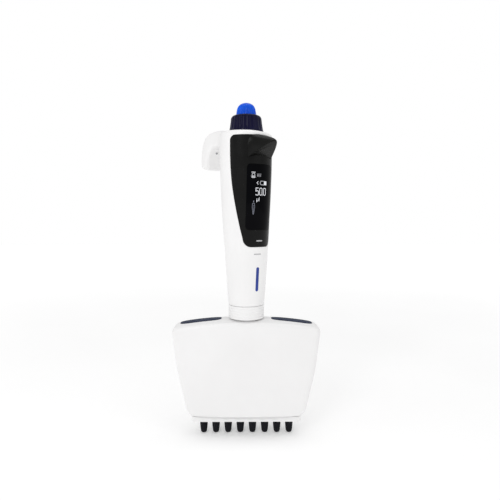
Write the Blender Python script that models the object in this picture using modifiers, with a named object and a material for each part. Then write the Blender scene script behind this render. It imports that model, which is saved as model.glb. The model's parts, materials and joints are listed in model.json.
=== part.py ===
"""Electronic multichannel pipette, eight channels, built as separate pieces.

Frame: metres, +Z up. The origin is on the swivel axis, at the centre of the
underside of the tip ejector bar. The wide side of the lower head faces -Y and
its eight tip cones stand in a row along X. The handle is turned HANDLE_YAW
about +Z, so its display looks to +X/-Y and its finger hook to -X/+Y.

All driving dimensions are in millimetres and are turned into metres by mm().
"""
import math

import bmesh
import bpy
from mathutils import Matrix, Vector

# ------------------------------------------------------------------ dimensions
NAME = "multichannel_pipette"

HANDLE_YAW = math.radians(36.0)   # handle front, turned from -Y towards +X
GAP = 0.3                         # air between pieces that touch

# row of channels
CHANNELS = 8
PITCH = 9.0                       # one well of a 96-well plate
CONE_TIP_Z = -10.5                # lowest point of the tip cones
CONE_TIP_R = 1.95
CONE_TOP_R = 2.75
BARREL_R = 3.2
BORE_R = 1.5
BARREL_Z = (8.6, 33.0)
PISTON_R = 1.2
PISTON_Z = (26.0, 49.7)
PISTON_TRAVEL = 12.0

# ejector
BAR_Z = (0.0, 3.8)
BAR_HALF = (39.7, 7.2)
EJECT_TRAVEL = 7.0
EJECT_ROD_XY = (27.0, 5.2)
EJECT_ROD_R = 1.3

# lower head (manifold) casing
WALL = 1.8
HEAD_SIDE = [(4.2, 39.9), (5.2, 41.4), (7.0, 42.8), (10.0, 44.0), (16.0, 45.3),
             (28.0, 47.9), (40.0, 50.2), (57.0, 52.2), (68.5, 53.35)]  # height, half width
HEAD_FILLET = 3.0
CROWN_TOP = 75.4                  # top of the casing on the axis
CROWN_DROP = 0.0017               # parabola of the crowned top, per mm
NECK_HOLE_R = 9.5
INSERT_X = (18.1, 48.0)
INSERT_HALF = 5.4

# neck and coupling nut
NUT_Z = (75.8, 85.2)
NUT_R = 12.9

# handle
HANDLE_WALL = 1.6
HANDLE_SIDE = [(85.6, 12.89), (90.0, 13.32), (105.7, 14.51), (126.1, 15.76),
               (143.0, 16.84), (160.7, 17.88), (180.0, 18.55), (200.0, 18.75),
               (205.0, 18.45), (207.2, 17.4), (207.9, 15.6)]  # height, radius
PANEL_Z = (127.6, 204.0)
WINDOW_Z = (139.5, 184.5)
WINDOW_ANGLE = math.radians(36.5)

# finger hook
HOOK_HALF = 8.5
HOOK_REST_Z = 201.1

# ring and button on top
RING_Z = (208.4, 219.2)
RING_R = 12.0
CAP_Z = (219.0, 229.0)
CAP_R = 7.15
PRESS_TRAVEL = 3.0


def mm(v):
    return v * 0.001


def pt(x, y, z):
    return Vector((mm(x), mm(y), mm(z)))


# --------------------------------------------------------------------- scene
for ob in list(bpy.data.objects):
    bpy.data.objects.remove(ob, do_unlink=True)
for col in list(bpy.data.collections):
    bpy.data.collections.remove(col)

parts = bpy.data.collections.new(NAME)
cutters = bpy.data.collections.new(NAME + "_cutters")
bpy.context.scene.collection.children.link(parts)
bpy.context.scene.collection.children.link(cutters)


def material(name, color, rough, metal=0.0):
    m = bpy.data.materials.get(name)
    if m is None:
        m = bpy.data.materials.new(name)
        m.use_nodes = True
        b = m.node_tree.nodes["Principled BSDF"]
        b.inputs["Base Color"].default_value = (*color, 1.0)
        b.inputs["Roughness"].default_value = rough
        b.inputs["Metallic"].default_value = metal
        m.diffuse_color = (*color, 1.0)
    return m


WHITE = material("white_plastic", (0.90, 0.90, 0.89), 0.32)
BLACK = material("black_plastic", (0.012, 0.012, 0.011), 0.22)
GLASS = material("dark_window", (0.004, 0.004, 0.006), 0.08)
NAVY = material("navy_plastic", (0.010, 0.010, 0.035), 0.30)
BLUE = material("blue_plastic", (0.006, 0.06, 0.75), 0.22)
SLATE = material("slate_insert", (0.035, 0.045, 0.08), 0.45)
CONE = material("cone_plastic", (0.012, 0.012, 0.018), 0.35)
STEEL = material("steel", (0.62, 0.62, 0.62), 0.25, 1.0)
FRAME = material("frame_plastic", (0.35, 0.36, 0.37), 0.5)
BOARD = material("board_green", (0.01, 0.11, 0.04), 0.5)
CELL = material("cell_sleeve", (0.03, 0.16, 0.42), 0.4)
LCD = material("display_grey", (0.05, 0.055, 0.06), 0.2)
BRASS = material("brass", (0.72, 0.50, 0.20), 0.3, 1.0)

# parent empties: one on each joint's axis, the handle's turned with the handle
FX, FY = math.sin(HANDLE_YAW), -math.cos(HANDLE_YAW)     # handle's front
LX, LY = math.cos(HANDLE_YAW), math.sin(HANDLE_YAW)      # handle's right


def empty(name, loc=(0, 0, 0), yaw=0.0, parent=None):
    e = bpy.data.objects.new(name, None)
    e.empty_display_size = 0.01
    e.location = pt(*loc)
    e.rotation_euler = (0, 0, yaw)
    parts.objects.link(e)
    if parent is not None:
        e.parent = parent
    return e


HANDLE = empty("handle_frame", yaw=HANDLE_YAW)       # local -Y is the front
HEAD = empty("head_swivel")                          # swivel axis, +Z
RING = empty("ring_axis", (0, 0, RING_Z[0]), HANDLE_YAW)
BUTTON = empty("button_axis", (0, 0, CAP_Z[0]), HANDLE_YAW)
DRIVE = empty("drive_axis", (0, 0, 97.0), HANDLE_YAW)
EJECT = empty("ejector_axis", (0, 0, 97.0), HANDLE_YAW)
PLATE = empty("piston_axis", (0, 0, 50.0))
BAR = empty("bar_axis", (0, 0, 0.0))
NUT = empty("nut_axis", (0, 0, NUT_Z[0]), HANDLE_YAW)
FRAMES = (HANDLE, HEAD, RING, BUTTON, DRIVE, EJECT, PLATE, BAR, NUT)


def adopt(ob, frame, mat, smooth=True):
    """Finish a sub-part: colour, shading, and a parent on its axis."""
    ob.data.materials.clear()
    ob.data.materials.append(mat)
    if smooth:
        ob.data.shade_smooth()
        ob.data.set_sharp_from_angle(angle=math.radians(32))
    ob.parent = frame
    # geometry is given in the frame's turned axes at world height, so the
    # piece's own origin goes down to the frame's foot
    ob.location = -frame.location + ob.location
    return ob


def link(ob, is_cutter=False):
    (cutters if is_cutter else parts).objects.link(ob)
    if is_cutter:
        ob.hide_render = True
        ob.display_type = "WIRE"
    return ob


def hide(ob):
    for c in list(ob.users_collection):
        c.objects.unlink(ob)
    return link(ob, True)


# ------------------------------------------------------------- modelling tools
def turned(name, profile, steps, x=0.0, y=0.0, closed=True, is_cutter=False):
    """Profile of (radius, height), down its outer side, turned about Z."""
    me = bpy.data.meshes.new(name)
    bm = bmesh.new()
    vs = [bm.verts.new(pt(r, 0, z)) for r, z in profile]
    for a, b in zip(vs, vs[1:]):
        bm.edges.new((a, b))
    if closed:
        bm.edges.new((vs[-1], vs[0]))
    bm.to_mesh(me)
    bm.free()
    ob = link(bpy.data.objects.new(name, me), is_cutter)
    ob.location = pt(x, y, 0)
    s = ob.modifiers.new("turn", "SCREW")
    s.axis = "Z"
    s.angle = math.tau
    s.steps = s.render_steps = steps
    s.use_merge_vertices = True
    s.merge_threshold = 0.00001
    s.use_smooth_shade = True
    return ob


def tube(name, r0, r1, z0, z1, steps, x=0.0, y=0.0, cut=False):
    """Straight sleeve between two radii."""
    return turned(name, [(r1, z1), (r1, z0), (r0, z0), (r0, z1)], steps, x, y, True, cut)


def rod(name, r, z0, z1, steps, x=0.0, y=0.0, cut=False, chamfer=0.0):
    """Solid round bar with chamfered ends."""
    if chamfer > 0:
        prof = [(0, z1), (r - chamfer, z1), (r, z1 - chamfer), (r, z0 + chamfer),
                (r - chamfer, z0), (0, z0)]
    else:
        prof = [(0, z1), (r, z1), (r, z0), (0, z0)]
    return turned(name, prof, steps, x, y, False, cut)


def cross_rod(name, r, y0, y1, x, z, steps, cut=False):
    """Round bar along Y."""
    bpy.ops.mesh.primitive_cylinder_add(vertices=steps, radius=mm(r), depth=mm(y1 - y0),
                                        location=pt(x, 0.5 * (y0 + y1), z),
                                        rotation=(math.pi / 2, 0, 0))
    ob = bpy.context.active_object
    ob.name = ob.data.name = name
    bpy.ops.object.transform_apply(location=True, rotation=True, scale=True)
    for c in list(ob.users_collection):
        c.objects.unlink(ob)
    return link(ob, cut)


def block(name, lo, hi, bevel=0.0, cut=False, segments=2):
    """Box between two corners, edges rounded by a Bevel."""
    me = bpy.data.meshes.new(name)
    bm = bmesh.new()
    bmesh.ops.create_cube(bm, size=1.0)
    size = [mm(b - a) for a, b in zip(lo, hi)]
    mid = [mm(0.5 * (a + b)) for a, b in zip(lo, hi)]
    bmesh.ops.scale(bm, vec=size, verts=bm.verts)
    bmesh.ops.translate(bm, vec=mid, verts=bm.verts)
    bm.to_mesh(me)
    bm.free()
    ob = link(bpy.data.objects.new(name, me), cut)
    if bevel > 0:
        b = ob.modifiers.new("round", "BEVEL")
        b.width = mm(bevel)
        b.segments = segments
        b.limit_method = "ANGLE"
    return ob


def outline(name, points, depth, matrix, bevel=0.0, cut=False):
    """Flat outline in its own XY plane, thickened by depth about that plane,
    placed by matrix, welded to a mesh and its rims bevelled."""
    cu = bpy.data.curves.new(name, "CURVE")
    cu.dimensions = "2D"
    cu.fill_mode = "BOTH"
    cu.extrude = mm(depth * 0.5)
    sp = cu.splines.new("POLY")
    sp.points.add(len(points) - 1)
    for p, (u, v) in zip(sp.points, points):
        p.co = (mm(u), mm(v), 0, 1)
    sp.use_cyclic_u = True
    co = bpy.data.objects.new(name + "_curve", cu)
    bpy.context.scene.collection.objects.link(co)
    co.matrix_world = matrix
    bpy.context.view_layer.update()
    dg = bpy.context.evaluated_depsgraph_get()
    me = bpy.data.meshes.new_from_object(co.evaluated_get(dg))
    me.transform(matrix)
    bm = bmesh.new()
    bm.from_mesh(me)
    bmesh.ops.remove_doubles(bm, verts=bm.verts, dist=0.00002)
    bmesh.ops.dissolve_limit(bm, angle_limit=math.radians(0.5), verts=bm.verts, edges=bm.edges)
    bmesh.ops.recalc_face_normals(bm, faces=bm.faces)
    bm.to_mesh(me)
    bm.free()
    bpy.data.objects.remove(co, do_unlink=True)
    ob = link(bpy.data.objects.new(name, me), cut)
    if bevel > 0:
        b = ob.modifiers.new("round", "BEVEL")
        b.width = mm(bevel)
        b.segments = 2
        b.limit_method = "ANGLE"
        b.angle_limit = math.radians(60)
    return ob


def coil(name, radius, wire, z0, z1, turns, x=0.0, y=0.0):
    """Compression spring: a helix with both end turns closed up."""
    n = int(turns * 10)
    cu = bpy.data.curves.new(name, "CURVE")
    cu.dimensions = "3D"
    cu.bevel_depth = mm(wire)
    cu.bevel_resolution = 0
    cu.use_fill_caps = True
    cu.resolution_u = 1
    cu.render_resolution_u = 0
    sp = cu.splines.new("POLY")
    sp.points.add(n)
    for i in range(n + 1):
        t = i / n
        a = math.tau * turns * t
        z = z0 + wire + (z1 - z0 - 2 * wire) * t
        sp.points[i].co = (mm(x + radius * math.cos(a)), mm(y + radius * math.sin(a)), mm(z), 1)
    co = bpy.data.objects.new(name + "_curve", cu)
    bpy.context.scene.collection.objects.link(co)
    bpy.context.view_layer.update()
    dg = bpy.context.evaluated_depsgraph_get()
    me = bpy.data.meshes.new_from_object(co.evaluated_get(dg))
    bm = bmesh.new()
    bm.from_mesh(me)
    bmesh.ops.remove_doubles(bm, verts=bm.verts, dist=0.00001)
    bmesh.ops.recalc_face_normals(bm, faces=bm.faces)
    bm.to_mesh(me)
    bm.free()
    bpy.data.objects.remove(co, do_unlink=True)
    return link(bpy.data.objects.new(name, me))


def loft(name, sections, cut=False):
    """Solid through unlike sections of equal point count, ends capped."""
    me = bpy.data.meshes.new(name)
    bm = bmesh.new()
    rings = [[bm.verts.new(pt(*p)) for p in s] for s in sections]
    n = len(sections[0])
    for a, b in zip(rings, rings[1:]):
        for j in range(n):
            k = (j + 1) % n
            bm.faces.new((a[j], a[k], b[k]))
            bm.faces.new((a[j], b[k], b[j]))
    bm.faces.new(rings[0])
    bm.faces.new(rings[-1])
    bmesh.ops.recalc_face_normals(bm, faces=bm.faces)
    bm.to_mesh(me)
    bm.free()
    return link(bpy.data.objects.new(name, me), cut)


def boolean(target, tool, op="DIFFERENCE"):
    b = target.modifiers.new(op.lower(), "BOOLEAN")
    b.operation = op
    b.solver = "EXACT"
    b.object = tool
    return target


def smooth_path(points, per=4):
    """Catmull-Rom points through the given ones, open."""
    out = []
    n = len(points)
    for i in range(n - 1):
        p0 = points[max(i - 1, 0)]
        p1, p2 = points[i], points[i + 1]
        p3 = points[min(i + 2, n - 1)]
        for k in range(per):
            t = k / per
            out.append(tuple(
                0.5 * (2 * b + (c - a) * t + (2 * a - 5 * b + 4 * c - d) * t * t
                       + (3 * b - a - 3 * c + d) * t ** 3)
                for a, b, c, d in zip(p0, p1, p2, p3)))
    out.append(tuple(points[-1]))
    return out


def interp(table, z):
    if z <= table[0][0]:
        return table[0][1]
    for (a, u), (b, v) in zip(table, table[1:]):
        if z <= b:
            return u + (v - u) * (z - a) / (b - a)
    return table[-1][1]


# =============================================================== handle pieces
def handle_outer(grow=0.0):
    """Outer side of the handle, top to bottom."""
    return [(r + grow, z) for z, r in reversed(HANDLE_SIDE)]


def handle_shell(name, steps):
    """The handle's wall, closed over at the top around the ring's hub, with a
    spigot at the foot that the coupling nut screws on to."""
    top = [(5.2, 208.0), (12.8, 208.0)]
    foot = [(10.7, 85.6), (10.7, 79.2), (9.4, 79.2), (9.4, 86.9)]
    inner = [(HANDLE_SIDE[1][1] - HANDLE_WALL, 90.0)]
    for z, r in HANDLE_SIDE[2:8]:
        inner.append((r - HANDLE_WALL, z))
    inner += [(16.6, 204.6), (15.2, 206.1), (5.2, 206.1)]
    return turned(name, top + handle_outer() + foot + inner, steps)


def panel_half_angle(z):
    """Half the angle that the black front panel spans at height z."""
    table = [(127.6, 26), (128.2, 33), (129.6, 38.5), (131.5, 42.5), (136.0, 47.0), (143.0, 53.0),
             (150.0, 58.0), (160.0, 64.1), (170.0, 68.9), (180.0, 71.6), (190.0, 72.7),
             (200.0, 72.9), (202.6, 72.0), (203.6, 70.2), (204.0, 67.5)]
    return math.radians(interp(table, z))


def wedge(name, zs, half_angle, shrink, r_in=8.0, r_out=95.0):
    """Cutter that opens out from the axis towards the front (-Y)."""
    sections = []
    lo, hi = zs[0], zs[-1]
    for z in zs:
        a = half_angle(z) - shrink / 18.5
        zz = lo + shrink + (z - lo) * (hi - lo - 2 * shrink) / (hi - lo)
        sections.append([(r_in * math.sin(-a), -r_in * math.cos(a), zz),
                         (r_in * math.sin(a), -r_in * math.cos(a), zz),
                         (r_out * math.sin(a), -r_out * math.cos(a), zz),
                         (r_out * math.sin(-a), -r_out * math.cos(a), zz)])
    return loft(name, sections, True)


PANEL_ZS = [127.6, 128.2, 128.9, 129.6, 130.5, 131.5, 133.5, 136, 143, 150, 160,
            170, 180, 190, 200, 202.6, 203.6, 204.0]
panel_hole = wedge("cut_panel_hole", PANEL_ZS, panel_half_angle, 0.0)
panel_plug = wedge("cut_panel_plug", PANEL_ZS, panel_half_angle, GAP)


def window_half_angle(z):
    e = min(z - WINDOW_Z[0], WINDOW_Z[1] - z, 3.0)
    return WINDOW_ANGLE - math.radians(9.0) * (1 - math.sqrt(max(0.0, 1 - (1 - e / 3.0) ** 2)))


WINDOW_ZS = [139.5, 140.3, 142.5, 162.0, 181.5, 183.7, 184.5]
window_hole = wedge("cut_window_hole", WINDOW_ZS, window_half_angle, 0.0)
window_plug = wedge("cut_window_plug", WINDOW_ZS, window_half_angle, GAP)
for c in (panel_hole, panel_plug, window_hole, window_plug):
    c.parent = HANDLE

housing = handle_shell("handle_housing", 36)
boolean(housing, panel_hole)
adopt(housing, HANDLE, WHITE)

panel = handle_shell("front_panel", 36)
boolean(panel, panel_plug, "INTERSECT")
boolean(panel, window_hole)
slot = block("cut_trigger_slot", (-3.4, -40, 192.1), (3.4, -10, 202.7), 0, True)
slot.parent = HANDLE
boolean(panel, slot)
adopt(panel, HANDLE, BLACK)

window = handle_shell("display_window", 36)
boolean(window, window_plug, "INTERSECT")
adopt(window, HANDLE, GLASS)

# charging contacts: two pins through the back of the housing, under the hook
for side, x in (("left", -4.0), ("right", 4.0)):
    hole = cross_rod("cut_contact_" + side, 1.3, 12.0, 26.0, x, 190.0, 12, True)
    hole.parent = HANDLE
    boolean(housing, hole)
    pin = cross_rod("charging_contact_" + side, 1.0, 15.4, 18.9, x, 190.0, 12)
    adopt(pin, HANDLE, BRASS)

# finger hook: flat outline in the handle's middle plane, rims rounded; local
# +Y is to the back, so the outline's first coordinate is the way back
HOOK_OUTER = [(13.2, 209.2), (15.5, 210.9), (21.0, 212.4), (29.0, 213.1), (36.5, 213.2), (42.4, 211.6),
              (46.9, 207.4), (49.1, 201.8), (50.2, 195.6), (50.4, 189.6), (48.4, 186.2), (45.4, 185.4),
              (42.2, 186.0), (40.5, 188.4), (39.6, 193.2), (38.2, 196.6), (36.0, 199.5)]
HOOK_INNER = [(23.6, 200.9), (21.4, 199.8), (19.9, 197.6), (19.3, 195.2)]
hook_points = (smooth_path(HOOK_OUTER, 2) + [(33.0, HOOK_REST_Z), (24.6, HOOK_REST_Z)]
               + smooth_path(HOOK_INNER, 2) + [(14.0, 194.4), (13.2, 208.4)])
side_plane = Matrix(((0, 0, 1, 0), (1, 0, 0, 0), (0, 1, 0, 0), (0, 0, 0, 1)))
hook = outline("finger_hook", hook_points, 2 * HOOK_HALF, side_plane, 2.2)
seat_cut = turned("cut_hook_seat",
                  [(0, 208.4), (17.6, 208.4)] + handle_outer(GAP)[1:6] + [(0, 160.7)],
                  36, closed=False, is_cutter=True)
seat_cut.parent = HANDLE
boolean(hook, seat_cut)
adopt(hook, HANDLE, WHITE)

# inside the handle, from the foot up
bracket = turned("motor_bracket", [(12.4, 111.7), (12.4, 109.5), (2.4, 109.5), (2.4, 111.7)], 20)
rod_hole = rod("cut_rod_hole", 1.5, 100, 145, 12, 0, -9.6, cut=True)
rod_hole.parent = HANDLE
boolean(bracket, rod_hole)
adopt(bracket, HANDLE, FRAME)

motor = turned("stepper_motor", [(7.4, 136.0), (8.2, 135.2), (8.2, 112.8), (7.4, 112.0),
                                 (2.05, 112.0), (2.05, 136.0)], 20)
adopt(motor, HANDLE, STEEL)

shelf = turned("chassis_plate", [(13.6, 138.2), (13.6, 136.5), (2.4, 136.5), (2.4, 138.2)], 20)
boolean(shelf, rod_hole)
adopt(shelf, HANDLE, FRAME)

screw = turned("lead_screw", [(0, 150.0), (1.35, 150.0), (1.75, 149.6), (1.75, 100.4),
                              (3.5, 99.8), (3.5, 97.4), (3.1, 97.0), (0, 97.0)], 20, closed=False)
adopt(screw, DRIVE, STEEL)

cell = turned("battery_cell", [(0, 189.2), (2.4, 189.2), (2.4, 188.2), (5.8, 188.2), (6.2, 187.8),
                               (6.2, 139.0), (5.8, 138.6), (0, 138.6)], 18, 0, 8.4, closed=False)
adopt(cell, HANDLE, CELL)

board = block("main_circuit_board", (-7.0, -12.2, 152.0), (7.0, -11.0, 190.0))
adopt(board, HANDLE, BOARD, False)
display = block("display_module", (-6.5, -13.9, 153.0), (6.5, -12.5, 182.0), 0.3)
adopt(display, HANDLE, LCD, False)

encoder = turned("encoder_module", [(6.6, 205.2), (7.2, 204.6), (7.2, 198.0), (3.2, 198.0),
                                    (3.2, 205.2)], 24)
adopt(encoder, HANDLE, FRAME)

# ejector train of the handle
ejector_rod = turned("ejector_rod", [(0, 199.2), (1.1, 199.2), (1.1, 152.0), (2.1, 152.0),
                                     (2.1, 151.0), (1.1, 151.0), (1.1, 99.8), (0, 99.8)],
                     14, 0, -9.6, closed=False)
adopt(ejector_rod, EJECT, STEEL)
pusher = turned("ejector_pusher_ring", [(10.4, 99.5), (10.8, 99.1), (10.8, 97.4), (10.4, 97.0),
                                        (4.1, 97.0), (4.1, 99.5)], 20)
adopt(pusher, EJECT, FRAME)
ej_spring = coil("ejector_spring", 1.75, 0.28, 138.5, 150.7, 5, 0, -9.6)
adopt(ej_spring, HANDLE, STEEL)


def beak_section(z, back, reach, half):
    """Parabola at height z, from the back line out to the reach."""
    pts = []
    for i in range(13):
        a = math.pi * i / 12
        pts.append((half * math.cos(a), -(back + (reach - back) * math.sin(a) ** 1.9), z))
    return pts


# thumb trigger: beak whose top falls to its tip and whose underside rises to it
BEAK_BACK = 15.2
BEAK_TIP = 32.4


def beak_under(y):
    """The underside slopes up from the panel to the tip."""
    return 190.2 + (y - 18.0) * 0.57


beak_sections = []
for cut_in, rise in ((1.0, 0.0), (0.2, 0.4), (0.0, 0.9)):
    beak_sections.append([(x, y, beak_under(-y) + rise) for x, y, z in
                          beak_section(0.0, BEAK_BACK, BEAK_TIP - cut_in, 8.9 - 0.5 * cut_in)])
for k in range(1, 6):
    t = k / 5.0
    sec = []
    for x, y, z in beak_section(0.0, BEAK_BACK, BEAK_TIP - (BEAK_TIP - 18.4) * t, 8.9):
        edge = beak_under(-y) + 0.9
        sec.append((x, y, edge + (203.3 - edge) * t ** 0.85))
    beak_sections.append(sec)
beak = loft("ejector_button", beak_sections)
boolean(beak, seat_cut)
stem = block("cut_trigger_stem", (-2.9, -20.4, 199.5), (2.9, -8.2, 202.3), 0, True)
stem.parent = HANDLE
boolean(beak, stem, "UNION")
adopt(beak, EJECT, BLACK)
# the beak is given in the frame's turned axes, so the stem is too

# ------------------------------------------------------- ring, button, springs
def ring_profile():
    return [(8.0, 219.8), (9.2, 219.8), (10.2, 219.25), (10.75, 218.3), (11.0, 217.0), (11.35, 214.4),
            (11.75, 211.4), (12.2, 209.2), (12.2, 208.4),
            (4.8, 208.4), (4.8, 205.7), (2.9, 205.4), (2.9, 199.0), (1.8, 199.0), (1.8, 215.6),
            (7.6, 215.6), (7.6, 219.5)]


ring = turned("selector_ring", ring_profile(), 24)
adopt(ring, RING, NAVY)

button = turned("start_button", [(0, 229.0), (3.2, 229.0), (4.4, 228.5), (5.3, 227.8), (5.95, 226.8),
                                 (6.35, 225.4), (6.75, 222.9), (7.0, 221.4), (7.3, 219.6), (7.3, 219.0),
                                 (1.45, 219.0), (1.45, 200.0), (0, 200.0)], 24, closed=False)
adopt(button, BUTTON, BLUE)
spring = coil("button_spring", 4.4, 0.3, 215.8, 218.8, 2.5)
adopt(spring, RING, STEEL)

# ------------------------------------------------------------------ neck pieces
nut = turned("coupling_nut", [(12.5, 85.2), (12.9, 84.8), (12.9, 76.2), (12.5, 75.8), (9.4, 75.8),
                              (9.4, 77.5), (11.0, 77.5), (11.0, 85.2)], 28)
adopt(nut, NUT, WHITE)

neck = turned("neck_sleeve", [(9.1, 88.0), (9.1, 78.9), (10.6, 78.9), (10.6, 77.9), (9.1, 77.9),
                              (9.1, 69.4), (10.7, 69.4), (10.7, 67.8), (7.7, 67.8), (7.7, 88.0)], 20)
adopt(neck, HEAD, FRAME)

# =================================================================== lower head
def head_half_width(z):
    return interp(HEAD_SIDE, z)


def head_depth(z):
    """Half depth at the ends, and how far the middle bows out beyond it."""
    t = min(1.0, max(0.0, (z - 4.2) / 64.0))
    return 8.4 + 2.0 * t, 2.3 + 0.5 * t


def head_ring(z, inset, count):
    """Half of the casing's outline at one height, from +X round the front
    (-Y) to -X: straight ends, rounded corners and a bowed front."""
    w = head_half_width(z) - inset
    d, bow = head_depth(z)
    d -= inset
    c = max(1.0, 3.6 - inset * 0.6)
    pts = [(w, -0.15), (w, -(d - c))]
    for k in range(1, 4):
        a = math.pi / 2 * k / 3
        x = w - c + c * math.cos(a)
        y = d - c + c * math.sin(a)
        pts.append((x, -(y + bow * (1 - (x / w) ** 2))))
    for k in range(1, count):
        x = (w - c) * (1 - 2 * k / count)
        pts.append((x, -(d + bow * (1 - (x / w) ** 2))))
    for k in range(3, 0, -1):
        a = math.pi / 2 * k / 3
        x = -(w - c + c * math.cos(a))
        y = d - c + c * math.sin(a)
        pts.append((x, -(y + bow * (1 - (x / w) ** 2))))
    pts += [(-w, -(d - c)), (-w, -0.15)]
    return pts


def crown(x):
    return CROWN_TOP - CROWN_DROP * x * x


def head_half(name, side):
    """One casing half: an open surface, thickened inwards. side is -1 for
    the front half and +1 for the rear."""
    rows = []
    count = 8
    for z, _ in HEAD_SIDE:
        base = head_ring(z, 0.0, count)
        lift = max(0.0, (z - 57.0) / (68.5 - 57.0))
        rows.append([(x, y, z + lift * (crown(x) - 1.2 - HEAD_FILLET - 68.5)) for x, y in base])
    for k in range(1, 4):
        a = math.pi / 2 * k / 3
        inset = HEAD_FILLET * (1 - math.cos(a))
        ring_pts = head_ring(68.5, inset, count)
        rows.append([(x, y, crown(x) - 1.2 - HEAD_FILLET + HEAD_FILLET * math.sin(a))
                     for x, y in ring_pts])
    last = rows[-1]
    for t in (0.45, 1.0):
        rows.append([(x, y * (1 - t) - 0.15 * t, z + (crown(x) - z) * (1 - (1 - t) ** 2))
                     for x, y, z in last])
    me = bpy.data.meshes.new(name)
    bm = bmesh.new()
    grid = [[bm.verts.new(pt(x, -side * y, z)) for x, y, z in row] for row in rows]
    for a, b in zip(grid, grid[1:]):
        for j in range(len(a) - 1):
            quad = (a[j], b[j], b[j + 1], a[j + 1])
            bm.faces.new(quad if side < 0 else tuple(reversed(quad)))
    bmesh.ops.remove_doubles(bm, verts=bm.verts, dist=0.00002)
    bm.to_mesh(me)
    bm.free()
    ob = link(bpy.data.objects.new(name, me))
    s = ob.modifiers.new("wall", "SOLIDIFY")
    s.thickness = mm(WALL)
    s.offset = -1
    s.use_even_offset = True
    return ob


front = head_half("manifold_front_shell", -1)
rear = head_half("manifold_rear_shell", 1)
neck_cut = rod("cut_neck", NECK_HOLE_R, 60, 95, 28, cut=True)
for half in (front, rear):
    boolean(half, neck_cut)


def lens(x):
    """Half width of the shoulder inserts at distance x from the axis."""
    x0, x1 = INSERT_X
    t = (x - x0) / (x1 - x0)
    return INSERT_HALF * max(0.0, 1 - abs(2 * min(1, max(0, t)) - 1) ** 5) ** 0.2


for side, s in (("left", -1), ("right", 1)):
    x0, x1 = INSERT_X
    n = 14
    xs = [x0 + (x1 - x0) * (0.5 - 0.5 * math.cos(math.pi * k / n)) for k in range(n + 1)]
    edge = [(s * x, lens(x)) for x in xs] + [(s * x, -lens(x)) for x in reversed(xs[1:-1])]
    if s < 0:
        edge = list(reversed(edge))
    cut = outline("cut_insert_" + side, edge, 30, Matrix.Translation((0, 0, mm(75))), 0, True)
    for half in (front, rear):
        boolean(half, cut)
    me = bpy.data.meshes.new("shoulder_insert_" + side)
    bm = bmesh.new()
    rows = []
    for k in range(n + 1):
        x = x0 + 0.6 + (x1 - x0 - 1.2) * (0.5 - 0.5 * math.cos(math.pi * k / n))
        h = max(0.25, lens(x) - GAP - 0.1)
        rows.append([bm.verts.new(pt(s * x, h * v, crown(x) + 0.1)) for v in (-1, 0, 1)])
    for a, b in zip(rows, rows[1:]):
        for j in range(2):
            quad = (a[j], b[j], b[j + 1], a[j + 1])
            bm.faces.new(quad if s > 0 else tuple(reversed(quad)))
    bm.to_mesh(me)
    bm.free()
    ins = link(bpy.data.objects.new("shoulder_insert_" + side, me))
    so = ins.modifiers.new("wall", "SOLIDIFY")
    so.thickness = mm(1.4)
    so.offset = -1
    adopt(ins, HEAD, SLATE)

# case screws: heads on the rear shell, shanks reaching in
for k, (x, z) in enumerate(((-42.0, 58.0), (42.0, 58.0), (-37.0, 16.0), (37.0, 16.0)), 1):
    d, bow = head_depth(z)
    y = d + bow * (1 - (x / head_half_width(z)) ** 2)
    hole = cross_rod("cut_case_screw_%d" % k, 1.6, y - 6, y + 6, x, z, 12, True)
    boolean(rear, hole)
    me = bpy.data.meshes.new("case_screw_%d" % k)
    shaft = turned("case_screw_%d" % k, [(0, 1.3), (1.7, 1.3), (2.4, 0.9), (2.4, 0.35), (1.25, 0.35),
                                         (1.25, -6.0), (0, -6.0)], 12, closed=False)
    bpy.data.meshes.remove(me)
    shaft.rotation_euler = (-math.pi / 2, 0, 0)
    shaft.location = pt(x, y + 0.25, z)
    adopt(shaft, HEAD, STEEL)

adopt(front, HEAD, WHITE)
adopt(rear, HEAD, WHITE)

# channels
cone_x = [PITCH * (k - (CHANNELS - 1) / 2) for k in range(CHANNELS)]


def cone_profile():
    top, foot = BARREL_Z[1], BARREL_Z[0]
    return [(BORE_R, top), (BARREL_R, top), (BARREL_R, foot), (CONE_TOP_R, foot),
            (CONE_TOP_R, 0.0), (2.15, -8.6), (CONE_TIP_R, -9.7),
            (1.1, CONE_TIP_Z), (0.6, CONE_TIP_Z), (0.6, 9.4), (BORE_R, 12.6)]


for k, x in enumerate(cone_x, 1):
    c = turned("tip_cone_%d" % k, cone_profile(), 12, x, 0)
    adopt(c, HEAD, CONE)
    p = rod("piston_%d" % k, PISTON_R, PISTON_Z[0], PISTON_Z[1], 10, x, 0)
    adopt(p, PLATE, STEEL)


def drilled(name, lo, hi, bevel, holes, corner=0.0):
    """Plate with round holes given as (x, y, radius)."""
    if corner > 0:
        pts = []
        for sx, sy, a0 in ((1, 1, 0), (-1, 1, 90), (-1, -1, 180), (1, -1, 270)):
            for k in range(5):
                a = math.radians(a0 + 22.5 * k)
                pts.append((sx * (hi[0] - corner) + corner * math.cos(a),
                            sy * (hi[1] - corner) + corner * math.sin(a)))
        mid = Matrix.Translation((0, 0, mm(0.5 * (lo[2] + hi[2]))))
        ob = outline(name, pts, hi[2] - lo[2], mid, bevel)
    else:
        ob = block(name, lo, hi, bevel)
    for i, (x, y, r) in enumerate(holes):
        h = rod("cut_%s_%d" % (name, i), r, lo[2] - 3, hi[2] + 3, 12, x, y, cut=True)
        boolean(ob, h)
    return ob


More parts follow.
